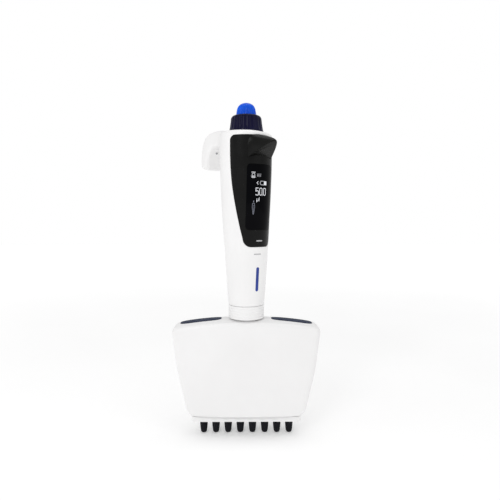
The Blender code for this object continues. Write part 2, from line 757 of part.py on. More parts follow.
ex, ey = EJECT_ROD_XY
rod_xy = [(-ex, ey), (ex, ey)]
base = drilled("base_plate", (-37.4, -7.2, 5.2), (37.4, 7.2, 8.2), 0.0,
               [(x, 0, CONE_TOP_R + GAP + 0.1) for x in cone_x]
               + [(x, y, EJECT_ROD_R + 0.3) for x, y in rod_xy], 4.0)
adopt(base, HEAD, FRAME)
clamp = drilled("barrel_clamp_plate", (-38.6, -3.6, 33.3), (38.6, 3.6, 35.3), 0.0,
                [(x, 0, PISTON_R + 0.4) for x in cone_x])
adopt(clamp, HEAD, FRAME)

GUIDE_X = 36.4
plate = drilled("piston_plate", (-39.0, -3.5, 50.0), (39.0, 3.5, 54.0), 0.5,
                [(-GUIDE_X, 0, 1.2 + 0.35), (GUIDE_X, 0, 1.2 + 0.35)])
adopt(plate, PLATE, FRAME)
for side, x in (("left", -GUIDE_X), ("right", GUIDE_X)):
    g = rod("guide_rod_" + side, 1.2, 35.6, 66.0, 14, x, 0, chamfer=0.3)
    adopt(g, HEAD, STEEL)
    sp = coil("piston_spring_" + side, 1.95, 0.35, 35.7, 49.6, 4, x, 0)
    adopt(sp, HEAD, STEEL)
piston_rod = rod("piston_rod", 2.0, 54.3, 96.7, 16, chamfer=0.4)
adopt(piston_rod, PLATE, STEEL)

# ejector of the lower head
bar = drilled("ejector_bar", (-BAR_HALF[0], -BAR_HALF[1], BAR_Z[0]), (BAR_HALF[0], BAR_HALF[1], BAR_Z[1]),
              0.9, [(x, 0, CONE_TOP_R + 0.35) for x in cone_x], 2.2)
adopt(bar, BAR, WHITE)
for side, (x, y) in (("left", (-ex, ey)), ("right", (ex, ey))):
    r = rod("ejector_side_rod_" + side, EJECT_ROD_R, 4.1, 61.7, 14, x, y, chamfer=0.3)
    adopt(r, BAR, STEEL)
yoke = block("ejector_yoke", (-30.0, -7.0, 62.0), (30.0, 8.0, 65.0), 0.6)
yoke_hole = rod("cut_yoke", 3.0, 50, 80, 20, cut=True)
boolean(yoke, yoke_hole)
adopt(yoke, BAR, FRAME)
sleeve = tube("ejector_sleeve", 5.6, 7.3, 65.3, 96.7, 20)
adopt(sleeve, BAR, FRAME)

bpy.context.view_layer.update()
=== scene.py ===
import json
import math
import bmesh
import bpy
import numpy as np
from mathutils import Matrix, Vector


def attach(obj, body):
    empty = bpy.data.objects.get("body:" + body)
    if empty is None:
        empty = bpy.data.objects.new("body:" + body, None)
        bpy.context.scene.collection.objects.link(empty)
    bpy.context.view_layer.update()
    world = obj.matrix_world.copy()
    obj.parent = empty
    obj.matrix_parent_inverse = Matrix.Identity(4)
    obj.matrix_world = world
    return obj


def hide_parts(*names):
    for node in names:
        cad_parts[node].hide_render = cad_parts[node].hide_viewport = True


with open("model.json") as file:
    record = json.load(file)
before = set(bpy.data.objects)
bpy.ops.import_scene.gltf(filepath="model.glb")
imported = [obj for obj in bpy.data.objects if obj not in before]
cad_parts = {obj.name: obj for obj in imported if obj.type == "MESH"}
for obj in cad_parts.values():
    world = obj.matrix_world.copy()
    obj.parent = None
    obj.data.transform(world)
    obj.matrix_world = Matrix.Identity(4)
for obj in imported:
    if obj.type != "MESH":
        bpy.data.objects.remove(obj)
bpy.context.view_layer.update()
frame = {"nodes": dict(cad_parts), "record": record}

# =====================================================================
# Electronic multichannel pipette: looks.
# Lengths below are millimetres in the row frame; mesh() turns them into
# metres. The handle is built in its own axes (x right, y back) and turned
# HANDLE_YAW about +Z.
# =====================================================================
HANDLE_YAW = math.radians(36.0)
CY, SY = math.cos(HANDLE_YAW), math.sin(HANDLE_YAW)


def pchip(xs, ys):
    """Smooth curve through a table, without overshoot."""
    x = np.asarray(xs, float)
    y = np.asarray(ys, float)
    h = np.diff(x)
    d = np.diff(y) / h
    m = np.zeros_like(y)
    for i in range(1, len(x) - 1):
        if d[i - 1] * d[i] > 0:
            w1, w2 = 2 * h[i] + h[i - 1], h[i] + 2 * h[i - 1]
            m[i] = (w1 + w2) / (w1 / d[i - 1] + w2 / d[i])
    m[0], m[-1] = d[0], d[-1]

    def f(v):
        v = np.clip(np.asarray(v, float), x[0], x[-1])
        k = np.clip(np.searchsorted(x, v) - 1, 0, len(h) - 1)
        t = (v - x[k]) / h[k]
        return (y[k] * (2 * t ** 3 - 3 * t ** 2 + 1) + h[k] * m[k] * (t ** 3 - 2 * t ** 2 + t)
                + y[k + 1] * (-2 * t ** 3 + 3 * t ** 2) + h[k] * m[k + 1] * (t ** 3 - t ** 2))
    return f


def smooth(e0, e1, v):
    t = np.clip((np.asarray(v, float) - e0) / (e1 - e0), 0, 1)
    return t * t * (3 - 2 * t)


def spline(points, per=8):
    """Points along a smooth line through the given ones."""
    p = np.asarray(points, float)
    out = []
    n = len(p)
    for i in range(n - 1):
        p0, p1, p2, p3 = p[max(i - 1, 0)], p[i], p[i + 1], p[min(i + 2, n - 1)]
        for k in range(per):
            t = k / per
            out.append(0.5 * (2 * p1 + (p2 - p0) * t + (2 * p0 - 5 * p1 + 4 * p2 - p3) * t * t
                              + (3 * p1 - p0 - 3 * p2 + p3) * t ** 3))
    out.append(p[-1])
    return np.array(out)


def turn(p):
    """Handle axes to row frame."""
    p = np.asarray(p, float)
    q = p.copy()
    q[..., 0] = p[..., 0] * CY - p[..., 1] * SY
    q[..., 1] = p[..., 0] * SY + p[..., 1] * CY
    return q


# ------------------------------------------------------------------ materials
def nodes_of(name):
    m = bpy.data.materials.new(name)
    m.use_nodes = True
    nt = m.node_tree
    bsdf = nt.nodes["Principled BSDF"]
    tc = nt.nodes.new("ShaderNodeTexCoord")
    return m, nt, bsdf, tc.outputs["Object"]


def noise(nt, co, scale, detail=3.0, rough=0.5):
    n = nt.nodes.new("ShaderNodeTexNoise")
    n.inputs["Scale"].default_value = scale
    n.inputs["Detail"].default_value = detail
    n.inputs["Roughness"].default_value = rough
    nt.links.new(co, n.inputs["Vector"])
    return n.outputs["Fac"]


def spread(nt, fac, lo, hi):
    r = nt.nodes.new("ShaderNodeMapRange")
    r.inputs["From Min"].default_value = 0.3
    r.inputs["From Max"].default_value = 0.7
    r.inputs["To Min"].default_value = lo
    r.inputs["To Max"].default_value = hi
    nt.links.new(fac, r.inputs["Value"])
    return r.outputs["Result"]


def tint(nt, fac, a, b):
    m = nt.nodes.new("ShaderNodeMix")
    m.data_type = "RGBA"
    m.inputs[6].default_value = (*a, 1)
    m.inputs[7].default_value = (*b, 1)
    nt.links.new(fac, m.inputs[0])
    return m.outputs[2]


def bump(nt, bsdf, height, strength, dist):
    b = nt.nodes.new("ShaderNodeBump")
    b.inputs["Strength"].default_value = strength
    b.inputs["Distance"].default_value = dist
    nt.links.new(height, b.inputs["Height"])
    nt.links.new(b.outputs["Normal"], bsdf.inputs["Normal"])


def plastic(name, dark, light, rough, grain=2600.0, grain_bump=0.05, patch=60.0, coat=0.0,
            spec=0.5, metal=0.0, coat_rough=0.06):
    """Moulded plastic: colour drifts softly over the moulding, a fine spark
    texture breaks the gloss, and the roughness drifts slowly across it."""
    m, nt, bsdf, co = nodes_of(name)
    drift = noise(nt, co, patch, 4.0, 0.55)
    nt.links.new(tint(nt, spread(nt, drift, 0.0, 1.0), dark, light), bsdf.inputs["Base Color"])
    fine = noise(nt, co, grain, 2.0, 0.6)
    nt.links.new(spread(nt, noise(nt, co, patch * 3.5, 3.0), rough[0], rough[1]), bsdf.inputs["Roughness"])
    bump(nt, bsdf, fine, grain_bump, 0.00004)
    bsdf.inputs["Metallic"].default_value = metal
    bsdf.inputs["Specular IOR Level"].default_value = spec
    bsdf.inputs["Coat Weight"].default_value = coat
    bsdf.inputs["Coat Roughness"].default_value = coat_rough
    return m


def metal(name, dark, light, rough, streak=900.0):
    """Drawn or turned metal, with fine rings along its length."""
    m, nt, bsdf, co = nodes_of(name)
    mp = nt.nodes.new("ShaderNodeMapping")
    mp.inputs["Scale"].default_value = (0.15, 0.15, 1.0)
    nt.links.new(co, mp.inputs["Vector"])
    lines = noise(nt, mp.outputs["Vector"], streak, 3.0, 0.6)
    nt.links.new(tint(nt, spread(nt, lines, 0.0, 1.0), dark, light), bsdf.inputs["Base Color"])
    nt.links.new(spread(nt, noise(nt, co, 400.0, 2.0), rough[0], rough[1]), bsdf.inputs["Roughness"])
    bump(nt, bsdf, lines, 0.08, 0.00003)
    bsdf.inputs["Metallic"].default_value = 1.0
    return m


M = {
    "white_plastic": plastic("mat_white", (0.875, 0.868, 0.868), (0.905, 0.900, 0.900), (0.30, 0.40),
                             grain_bump=0.03, patch=26.0, coat=0.15, coat_rough=0.15, spec=0.4),
    "black_plastic": plastic("mat_black", (0.0034, 0.0034, 0.0033), (0.0052, 0.0052, 0.0050), (0.22, 0.34),
                             grain=3200.0, grain_bump=0.08, spec=0.14),
    "trigger_black": plastic("mat_trigger", (0.0030, 0.0030, 0.0028), (0.0046, 0.0046, 0.0042), (0.24, 0.34),
                             grain_bump=0.05, spec=0.13),
    "dark_window": plastic("mat_window", (0.0006, 0.0006, 0.0012), (0.0010, 0.0010, 0.0020), (0.05, 0.10),
                           grain_bump=0.01, spec=0.055),
    "navy_plastic": plastic("mat_navy", (0.0030, 0.0026, 0.0190), (0.0060, 0.0052, 0.0330), (0.18, 0.28),
                            spec=0.10),
    "blue_plastic": plastic("mat_blue", (0.0008, 0.066, 0.56), (0.0030, 0.125, 0.86), (0.10, 0.18),
                            grain_bump=0.03, spec=0.15),
    "slate_insert": plastic("mat_slate", (0.026, 0.034, 0.062), (0.036, 0.046, 0.080), (0.50, 0.62),
                            grain=1800.0, grain_bump=0.15, spec=0.10),
    "cone_plastic": plastic("mat_cone", (0.0075, 0.0075, 0.0100), (0.0110, 0.0110, 0.0145), (0.40, 0.52),
                            grain=2800.0, grain_bump=0.12, spec=0.08),
    "steel": metal("mat_steel", (0.52, 0.52, 0.53), (0.68, 0.68, 0.68), (0.18, 0.32)),
    "brass": metal("mat_contact", (0.70, 0.52, 0.22), (0.85, 0.66, 0.32), (0.16, 0.28)),
    "frame_plastic": plastic("mat_frame", (0.30, 0.31, 0.32), (0.38, 0.39, 0.40), (0.42, 0.55),
                             grain_bump=0.12),
    "board_green": plastic("mat_board", (0.006, 0.09, 0.03), (0.012, 0.13, 0.05), (0.32, 0.5), patch=220.0),
    "cell_sleeve": plastic("mat_cell", (0.02, 0.13, 0.36), (0.04, 0.18, 0.46), (0.25, 0.38)),
    "display_grey": plastic("mat_display", (0.03, 0.034, 0.038), (0.05, 0.055, 0.06), (0.12, 0.2)),
    "print_blue": plastic("mat_print_blue", (0.006, 0.030, 0.24), (0.010, 0.042, 0.31), (0.35, 0.45)),
    "print_grey": plastic("mat_print_grey", (0.42, 0.42, 0.43), (0.50, 0.50, 0.51), (0.4, 0.5)),
    "print_white": plastic("mat_print_white", (0.50, 0.50, 0.50), (0.60, 0.60, 0.60), (0.4, 0.5)),
}


def lit(name, lo, hi, glow):
    """Display segment: white, glowing a little unevenly."""
    m, nt, bsdf, co = nodes_of(name)
    f = spread(nt, noise(nt, co, 500.0, 2.0), 0.0, 1.0)
    c = tint(nt, f, lo, hi)
    nt.links.new(c, bsdf.inputs["Base Color"])
    nt.links.new(c, bsdf.inputs["Emission Color"])
    bsdf.inputs["Emission Strength"].default_value = glow
    bsdf.inputs["Roughness"].default_value = 0.4
    bsdf.inputs["Specular IOR Level"].default_value = 0.2
    return m


M["segment"] = lit("mat_segment", (0.58, 0.59, 0.62), (0.68, 0.69, 0.72), 0.35)
M["segment_mid"] = lit("mat_segment_mid", (0.28, 0.28, 0.30), (0.38, 0.38, 0.41), 0.25)
M["segment_dim"] = lit("mat_segment_dim", (0.17, 0.18, 0.22), (0.24, 0.25, 0.30), 0.2)


# -------------------------------------------------------------- mesh building
def mesh(name, verts, faces, mat, body, sharp=35.0, weld=0.0005):
    """A finished piece from millimetre points, riding on a body."""
    me = bpy.data.meshes.new(name)
    me.from_pydata([tuple(float(c) * 0.001 for c in v) for v in verts], [], [tuple(int(i) for i in f) for f in faces])
    bm = bmesh.new()
    bm.from_mesh(me)
    bmesh.ops.remove_doubles(bm, verts=bm.verts, dist=weld * 0.001)
    bmesh.ops.dissolve_degenerate(bm, dist=0.0000002, edges=bm.edges)
    bmesh.ops.recalc_face_normals(bm, faces=bm.faces)
    bm.to_mesh(me)
    bm.free()
    ob = bpy.data.objects.new(name, me)
    bpy.context.scene.collection.objects.link(ob)
    me.materials.append(M[mat])
    me.shade_smooth()
    me.set_sharp_from_angle(angle=math.radians(sharp))
    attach(ob, body)
    return ob


def face_out(ob):
    """Point an open handle patch's faces away from the handle's axis."""
    me = ob.data
    total = 0.0
    for f in me.polygons:
        c, n = f.center, f.normal
        total += (c.x * n.x + c.y * n.y) * f.area
    if total < 0:
        me.flip_normals()
    return ob


def grid_faces(rows, cols, wrap=False, offset=0):
    out = []
    last = cols if wrap else cols - 1
    for i in range(rows - 1):
        for j in range(last):
            k = (j + 1) % cols
            out.append((offset + i * cols + j, offset + i * cols + k,
                        offset + (i + 1) * cols + k, offset + (i + 1) * cols + j))
    return out


def resharp(ob, angle=35.0):
    ob.data.shade_smooth()
    ob.data.set_sharp_from_angle(angle=math.radians(angle))


def apply_all(ob, angle=35.0):
    """Bake the modifiers into the mesh, then tidy it."""
    bpy.context.view_layer.update()
    dg = bpy.context.evaluated_depsgraph_get()
    me = bpy.data.meshes.new_from_object(ob.evaluated_get(dg))
    old = ob.data
    ob.modifiers.clear()
    ob.data = me
    name = old.name
    bpy.data.meshes.remove(old)
    me.name = name
    bm = bmesh.new()
    bm.from_mesh(me)
    bmesh.ops.remove_doubles(bm, verts=bm.verts, dist=0.0000008)
    bmesh.ops.dissolve_degenerate(bm, dist=0.0000005, edges=bm.edges)
    bm.to_mesh(me)
    bm.free()
    resharp(ob, angle)
    return ob


def heal(ob, dist=0.004, angle=35.0):
    """Merge slivers left by the cuts and close any pinhole; dist in mm."""
    me = ob.data
    bm = bmesh.new()
    bm.from_mesh(me)
    for _ in range(3):
        bmesh.ops.remove_doubles(bm, verts=bm.verts, dist=dist * 0.001)
        bmesh.ops.dissolve_degenerate(bm, dist=dist * 0.0005, edges=bm.edges)
        loose = [e for e in bm.edges if not e.link_faces]
        if loose:
            bmesh.ops.delete(bm, geom=loose, context="EDGES")
        over = [e for e in bm.edges if len(e.link_faces) > 2]
        if over:
            # a sliver doubled over itself: drop its smallest face
            drop = {min(e.link_faces, key=lambda f: f.calc_area()) for e in over}
            drop = [f for f in drop if f.calc_area() < 2e-8]
            if drop:
                bmesh.ops.delete(bm, geom=drop, context="FACES")
        rim = [e for e in bm.edges if len(e.link_faces) == 1]
        if rim:
            bmesh.ops.holes_fill(bm, edges=rim, sides=12)
    verts = [v for v in bm.verts if not v.link_faces]
    if verts:
        bmesh.ops.delete(bm, geom=verts, context="VERTS")
    bmesh.ops.recalc_face_normals(bm, faces=bm.faces)
    if bm.calc_volume(signed=True) < 0:
        bmesh.ops.reverse_faces(bm, faces=bm.faces)
    bm.to_mesh(me)
    bm.free()
    resharp(ob, angle)
    return ob


def is_closed(ob):
    bm = bmesh.new()
    bm.from_mesh(ob.data)
    ok = all(len(e.link_faces) == 2 for e in bm.edges)
    bm.free()
    return ok


def bevel_where(ob, width, test, angle=55.0, segments=2):
    """Fillet the sharp edges that test(edge centre in mm) picks."""
    me = ob.data
    bm = bmesh.new()
    bm.from_mesh(me)
    pick = [e for e in bm.edges if len(e.link_faces) == 2 and e.calc_face_angle(0) > math.radians(angle)
            and test((e.verts[0].co + e.verts[1].co) * 500.0)]
    bmesh.ops.bevel(bm, geom=pick, offset=width * 0.001, offset_type="OFFSET", segments=segments, profile=0.5,
                    affect="EDGES", clamp_overlap=True)
    bm.to_mesh(me)
    bm.free()
    resharp(ob)
    return ob


def solidify(ob, thick, inward=True):
    s = ob.modifiers.new("wall", "SOLIDIFY")
    s.thickness = thick * 0.001
    s.offset = -1 if inward else 1
    s.use_even_offset = True
    s.use_quality_normals = True
    return ob


def bevel(ob, width, segments=2, angle=50.0):
    b = ob.modifiers.new("edge", "BEVEL")
    b.width = width * 0.001
    b.segments = segments
    b.limit_method = "ANGLE"
    b.angle_limit = math.radians(angle)
    b.harden_normals = False
    return ob


TOOLS = []


def tool(verts, faces, name="tool"):
    """A cutter; removed before the end."""
    me = bpy.data.meshes.new(name)
    me.from_pydata([tuple(float(c) * 0.001 for c in v) for v in verts], [], [tuple(int(i) for i in f) for f in faces])
    bm = bmesh.new()
    bm.from_mesh(me)
    bmesh.ops.remove_doubles(bm, verts=bm.verts, dist=0.0000005)
    bmesh.ops.recalc_face_normals(bm, faces=bm.faces)
    bm.to_mesh(me)
    bm.free()
    ob = bpy.data.objects.new(name, me)
    bpy.context.scene.collection.objects.link(ob)
    ob.hide_render = True
    TOOLS.append(ob)
    return ob


def cut(ob, cutter, op="DIFFERENCE"):
    b = ob.modifiers.new("cut", "BOOLEAN")
    b.operation = op
    b.solver = "EXACT"
    b.object = cutter
    return ob


def lathe(profile, steps, radial=None, cx=0.0, cy=0.0, closed=False, turned_handle=False):
    """Points and faces of a profile [(r, z)] turned about Z. radial(r, z, phi)
    may change the radius. Ends on the axis close themselves."""
    p = np.asarray(profile, float)
    phi = np.linspace(0, 2 * math.pi, steps, endpoint=False)
    r = np.repeat(p[:, 0:1], steps, 1)
    z = np.repeat(p[:, 1:2], steps, 1)
    if radial is not None:
        r = radial(r, z, phi[None, :])
    v = np.stack([cx + r * np.sin(phi), cy - r * np.cos(phi), z], -1)
    rows = len(p)
    faces = grid_faces(rows, steps, True)
    if closed:
        for j in range(steps):
            k = (j + 1) % steps
            faces.append(((rows - 1) * steps + j, (rows - 1) * steps + k, k, j))
    v = v.reshape(-1, 3)
    if turned_handle:
        v = turn(v)
    return v, faces


def arc(cx, cz, r, a0, a1, n):
    """Profile points on a fillet; angles in degrees from +r towards +z."""
    return [(cx + r * math.cos(math.radians(a0 + (a1 - a0) * k / n)),
             cz + r * math.sin(math.radians(a0 + (a1 - a0) * k / n))) for k in range(n + 1)]


# ================================================================ the handle
handle_r = pchip([85.2, 88.1, 96.9, 105.7, 114.5, 126.1, 140.6, 152.1, 160.7, 172.1, 180.7, 194.0, 206.0, 220.0],
                 [12.89, 13.17, 13.84, 14.51, 15.18, 15.80, 16.69, 17.41, 17.86, 18.30, 18.58, 18.76, 18.76, 18.76])


def surf_r(phi, z):
    """Radius of the handle's skin; phi is from its front, towards its right.
    The front and the panel's two sides are a little flatter."""
    on = smooth(125, 150, z)
    q = np.abs((np.asarray(phi) + math.pi) % (2 * math.pi) - math.pi)
    cheek = np.clip(np.cos(1.6 * (q - 0.94)), 0, 1) ** 2
    return handle_r(z) * (1 - on * (0.028 * np.clip(np.cos(phi), 0, 1) ** 6 + 0.022 * cheek))


def on_skin(phi, z, lift=0.0):
    r = surf_r(phi, z) + lift
    return np.stack([r * np.sin(phi), -r * np.cos(phi), z + 0 * phi], -1)


PANEL_B, PANEL_T = 127.6, 204.0
panel_base = pchip([127.6, 133, 136, 140, 143, 147, 150, 155, 160, 165, 170, 175, 180, 185, 190, 196, 204],
                   [42.6, 44.9, 47.3, 50.8, 53.1, 56.0, 58.1, 61.2, 64.1, 66.6, 68.9, 70.5, 71.6, 72.3, 72.7, 72.9, 72.9])


def panel_angle(z, grow=0.0):
    """Half angle of the front panel's outline, corners rounded."""
    zb, zt = PANEL_B - grow, PANEL_T + grow
    s = np.radians(panel_base(z)) * handle_r(z) + grow
    for d, r in ((z - zb, 5.2), (zt - z, 3.7)):
        e = np.clip(d, 0, r)
        s = s - r * (1 - np.sqrt(np.clip(1 - ((r - e) / r) ** 2, 0, 1)))
    return s / handle_r(z)


def panel_rows(grow=0.0, mid=34):
    zb, zt = PANEL_B - grow, PANEL_T + grow
    lo = [zb + 5.2 * (1 - math.cos(math.radians(a))) for a in (0, 16, 30, 44, 58, 72, 90)]
    hi = [zt - 3.7 * (1 - math.cos(math.radians(a))) for a in (90, 74, 58, 42, 28, 14, 0)]
    return np.array(lo + list(np.linspace(lo[-1], hi[0], mid)[1:-1]) + hi)


def collar_rim(phi):
    """Height of the collar's rim: low at the front right, high at the back."""
    q = (np.asarray(phi) + math.pi) % (2 * math.pi) - math.pi
    p = np.abs(q)
    dip = 0.62 * smooth(-0.6, 0.75, q) * (1 - smooth(1.2, 2.2, q))
    return 207.4 + 1.4 * (1 - np.cos(p)) / 2 + 2.6 * smooth(1.75, 2.85, p) - dip


def build_housing():
    nf, nb = 22, 64
    gap = 0.10
    zp = panel_rows(gap)
    a_lo, a_hi = float(panel_angle(zp[0], gap)), float(panel_angle(zp[-1], gap))

    def columns(a, full):
        back = np.linspace(a, 2 * math.pi - a, nb + 1)
        if not full:
            return back
        return np.concatenate([np.linspace(-a, a, nf + 1)[:-1], back[:-1]])

    verts, faces = [], []
    index = {}

    def add(p):
        key = (round(p[0], 4), round(p[1], 4), round(p[2], 4))
        if key not in index:
            index[key] = len(verts)
            verts.append(p)
        return index[key]

    def band(r0, r1, wrap):
        n = len(r0)
        last = n if wrap else n - 1
        for j in range(last):
            k = (j + 1) % n
            q = (r0[j], r0[k], r1[k], r1[j])
            if len(set(q)) > 2:
                faces.append(tuple(dict.fromkeys(q)))

    # foot: small fillet, then up to the panel
    phi = columns(a_lo, True)
    rows = []
    r0 = float(handle_r(85.5))
    for r, z in [(11.0, 85.35), (r0 - 0.45, 85.35), (r0 - 0.15, 85.45), (r0, 85.75)]:
        rows.append([add(p) for p in np.stack([r * np.sin(phi), -r * np.cos(phi), z + 0 * phi], -1)])
    for z in np.linspace(87, zp[0], 24):
        rows.append([add(p) for p in on_skin(phi, np.full_like(phi, z))])
    for a, b in zip(rows, rows[1:]):
        band(a, b, True)
    # beside the panel
    prev = None
    for z in zp:
        c = columns(float(panel_angle(z, gap)), False)
        cur = [add(p) for p in on_skin(c, np.full_like(c, z))]
        if prev is not None:
            band(prev, cur, False)
        prev = cur
    # collar: straight, shoulder, rim, counterbore and floor
    phi = columns(a_hi, True)
    h = collar_rim(phi)
    top = []
    first = on_skin(phi, np.full_like(phi, zp[-1]))
    top.append(first)
    R = surf_r(phi, np.full_like(phi, zp[-1]))
    for t in (0.35, 0.7, 1.0):
        z = zp[-1] + (h - 2.7 - zp[-1]) * t
        r = R + (18.55 - R) * t
        top.append(np.stack([r * np.sin(phi), -r * np.cos(phi), z], -1))
    for k in range(1, 8):
        a = math.radians(90 * k / 7)
        r = 15.6 + 2.95 * math.cos(a)
        z = h - 2.7 + 2.7 * math.sin(a)
        top.append(np.stack([r * np.sin(phi), -r * np.cos(phi), z], -1))
    for r, dz in ((14.4, 0.0), (13.35, 0.0), (12.95, -0.08), (12.72, -0.25)):
        top.append(np.stack([r * np.sin(phi), -r * np.cos(phi), h + dz], -1))
    for t in (0.5, 1.0):
        z = (h - 0.25) * (1 - t) + 206.6 * t
        top.append(np.stack([12.72 * np.sin(phi), -12.72 * np.cos(phi), z], -1))
    for r in (9.0, 5.4):
        top.append(np.stack([r * np.sin(phi), -r * np.cos(phi), 206.6 + 0 * phi], -1))
    prev = None
    for row in top:
        cur = [add(p) for p in row]
        if prev is not None:
            band(prev, cur, True)
        prev = cur
    ob = mesh("handle_body", turn(np.array(verts)), faces, "white_plastic", "handle")
    face_out(ob)
    solidify(ob, 1.4)
    apply_all(ob)
    bevel_where(ob, 0.18, lambda c: 86.5 < c.z < 204.6 and math.hypot(c.x, c.y) > handle_r(c.z) - 0.5)
    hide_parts("handle_housing")
    return ob


def skin_patch(angle_of, rows, cols, lift=0.0, inset=0.0):
    """Grid on the handle's skin inside an outline given as half angles."""
    verts = []
    for z in rows:
        a = float(angle_of(z))
        c = np.linspace(-a, a, cols)
        verts.append(on_skin(c, np.full_like(c, z), lift))
    v = np.array(verts).reshape(-1, 3)
    return turn(v), grid_faces(len(rows), cols)


WIN_B, WIN_T, WIN_A = 139.5, 184.5, 36.5


def window_angle(z, grow=0.0):
    zb, zt = WIN_B - grow, WIN_T + grow
    s = math.radians(WIN_A) * 17.6 + grow
    for d in (z - zb, zt - z):
        e = np.clip(d, 0, 2.6)
        s = s - 2.6 * (1 - np.sqrt(np.clip(1 - ((2.6 - e) / 2.6) ** 2, 0, 1)))
    return s / handle_r(z)


def window_rows(grow=0.0, mid=22):
    zb, zt = WIN_B - grow, WIN_T + grow
    lo = [zb + 2.6 * (1 - math.cos(math.radians(a))) for a in (0, 22, 44, 66, 90)]
    hi = [zt - 2.6 * (1 - math.cos(math.radians(a))) for a in (90, 66, 44, 22, 0)]
    return np.array(lo + list(np.linspace(lo[-1], hi[0], mid)[1:-1]) + hi)


def build_panel():
    rows = panel_rows(0.0, 44)
    v, f = skin_patch(lambda z: panel_angle(z), rows, 61)
    ob = mesh("front_fascia", v, f, "black_plastic", "handle")
    face_out(ob)
    solidify(ob, 1.4)
    # window opening: a loft that opens out from the axis
    zr = window_rows(0.06)
    sec = []
    for z in zr:
        a = float(window_angle(z, 0.06))
        for r in (10.0, 26.0):
            pass
        sec.append([(10 * math.sin(-a), -10 * math.cos(a), z), (10 * math.sin(a), -10 * math.cos(a), z),
                    (40 * math.sin(a), -40 * math.cos(a), z), (40 * math.sin(-a), -40 * math.cos(a), z)])
    v = turn(np.array(sec).reshape(-1, 3))
    faces = grid_faces(len(zr), 4, True)
    n = len(v)
    faces += [(0, 1, 2, 3), (n - 4, n - 3, n - 2, n - 1)]
    cut(ob, tool(v, faces, "tool_window"))
    # slot for the trigger's stem
    x0, x1, y0, y1, z0, z1 = -3.4, 3.4, -40, -10, 192.1, 202.7
    v = turn(np.array([(x, y, z) for z in (z0, z1) for x, y in ((x0, y0), (x1, y0), (x1, y1), (x0, y1))]))
    cut(ob, tool(v, [(0, 1, 2, 3), (4, 5, 6, 7), (0, 1, 5, 4), (1, 2, 6, 5), (2, 3, 7, 6), (3, 0, 4, 7)], "tool_slot"))
    bevel(ob, 0.16, 2, 55)
    apply_all(ob)
    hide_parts("front_panel")
    v, f = skin_patch(lambda z: window_angle(z), window_rows(), 45, -0.04)
    w = mesh("display_glass", v, f, "dark_window", "handle")
    face_out(w)
    solidify(w, 1.2)
    bevel(w, 0.12, 2, 55)
    apply_all(w)
    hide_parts("display_window")
    return ob, w


# ---------------------------------------------------------- marks on the skin
def ribbon(points, width, closed=False):
    """Two side lines of a flat stroke through 2-D points, mitred."""
    p = np.asarray(points, float)
    n = len(p)
    left, right = [], []
    for i in range(n):
        a = p[i - 1] if (i > 0 or closed) else None
        b = p[(i + 1) % n] if (i < n - 1 or closed) else None
        d0 = (p[i] - a) / (np.linalg.norm(p[i] - a) or 1) if a is not None else None
        d1 = (b - p[i]) / (np.linalg.norm(b - p[i]) or 1) if b is not None else None
        d = d0 if d1 is None else d1 if d0 is None else d0 + d1
        d = d / (np.linalg.norm(d) or 1)
        nrm = np.array([-d[1], d[0]])
        ref = d0 if d0 is not None else d1
        c = max(0.45, abs(nrm @ np.array([-ref[1], ref[0]])))
        left.append(p[i] + nrm * width * 0.5 / c)
        right.append(p[i] - nrm * width * 0.5 / c)
    return np.array(left), np.array(right)


def strokes_mesh(name, strokes, phi0, z0, mat, body="handle", lift=0.03, thick=0.05):
    """Flat strokes laid on the handle's skin as thin solids. strokes is a list
    of (points, width, closed); x runs round the skin, y up it."""
    verts, faces = [], []
    for pts, width, closed in strokes:
        # short steps, so that a long stroke follows the curved glass
        fine = []
        ends = list(zip(pts, pts[1:] + (pts[:1] if closed else [])))
        for a, b in ends:
            steps = max(1, int(math.ceil(math.hypot(b[0] - a[0], b[1] - a[1]) / 0.6)))
            fine += [(a[0] + (b[0] - a[0]) * k / steps, a[1] + (b[1] - a[1]) * k / steps) for k in range(steps)]
        if not closed:
            fine.append(pts[-1])
        L, R = ribbon(fine, width, closed)
        n = len(L)
        base = len(verts)
        for side in (L, R):
            for level in (lift + thick, lift):
                for x, y in side:
                    r0 = float(handle_r(z0 + y))
                    phi = phi0 + x / r0
                    verts.append(on_skin(np.array([phi]), np.array([z0 + y]), level)[0])
        lt, lb, rt, rb = base, base + n, base + 2 * n, base + 3 * n
        last = n if closed else n - 1
        for i in range(last):
            k = (i + 1) % n
            faces += [(lt + i, lt + k, rt + k, rt + i), (lb + i, rb + i, rb + k, lb + k),
                      (lt + i, lb + i, lb + k, lt + k), (rt + i, rt + k, rb + k, rb + i)]
        if not closed:
            e = n - 1
            faces += [(lt, rt, rb, lb), (lt + e, lb + e, rb + e, rt + e)]
    return mesh(name, turn(np.array(verts)), faces, mat, body, sharp=30, weld=0.00001)


def digit_zero(x, w, h, r):
    pts = []
    for cx, cy, a0 in ((x + w - r, h - r, 0), (x + r, h - r, 90), (x + r, r, 180), (x + w - r, r, 270)):
        for k in range(5):
            a = math.radians(a0 + 22.5 * k)
            pts.append((cx + r * math.cos(a), cy + r * math.sin(a)))
    return pts


def digit_five(x, w, h):
    r = min(w, h) * 0.30
    pts = [(x + w, h), (x + 0.10 * w, h), (x + 0.04 * w, h * 0.55)]
    mid = h * 0.60
    cx, cy = x + w - r, mid - r
    for k in range(5):
        a = math.radians(90 - 22.5 * k)
        pts.append((cx + r * math.cos(a), cy + r * math.sin(a)))
    for k in range(5):
        a = math.radians(0 - 22.5 * k)
        pts.append((x + w - r + r * math.cos(a), r + r * math.sin(a)))
    pts += [(x + 0.18 * w, 0.0), (x, h * 0.12)]
    return pts


def circle(cx, cy, r, n=12):
    return [(cx + r * math.cos(2 * math.pi * k / n), cy + r * math.sin(2 * math.pi * k / n)) for k in range(n)]


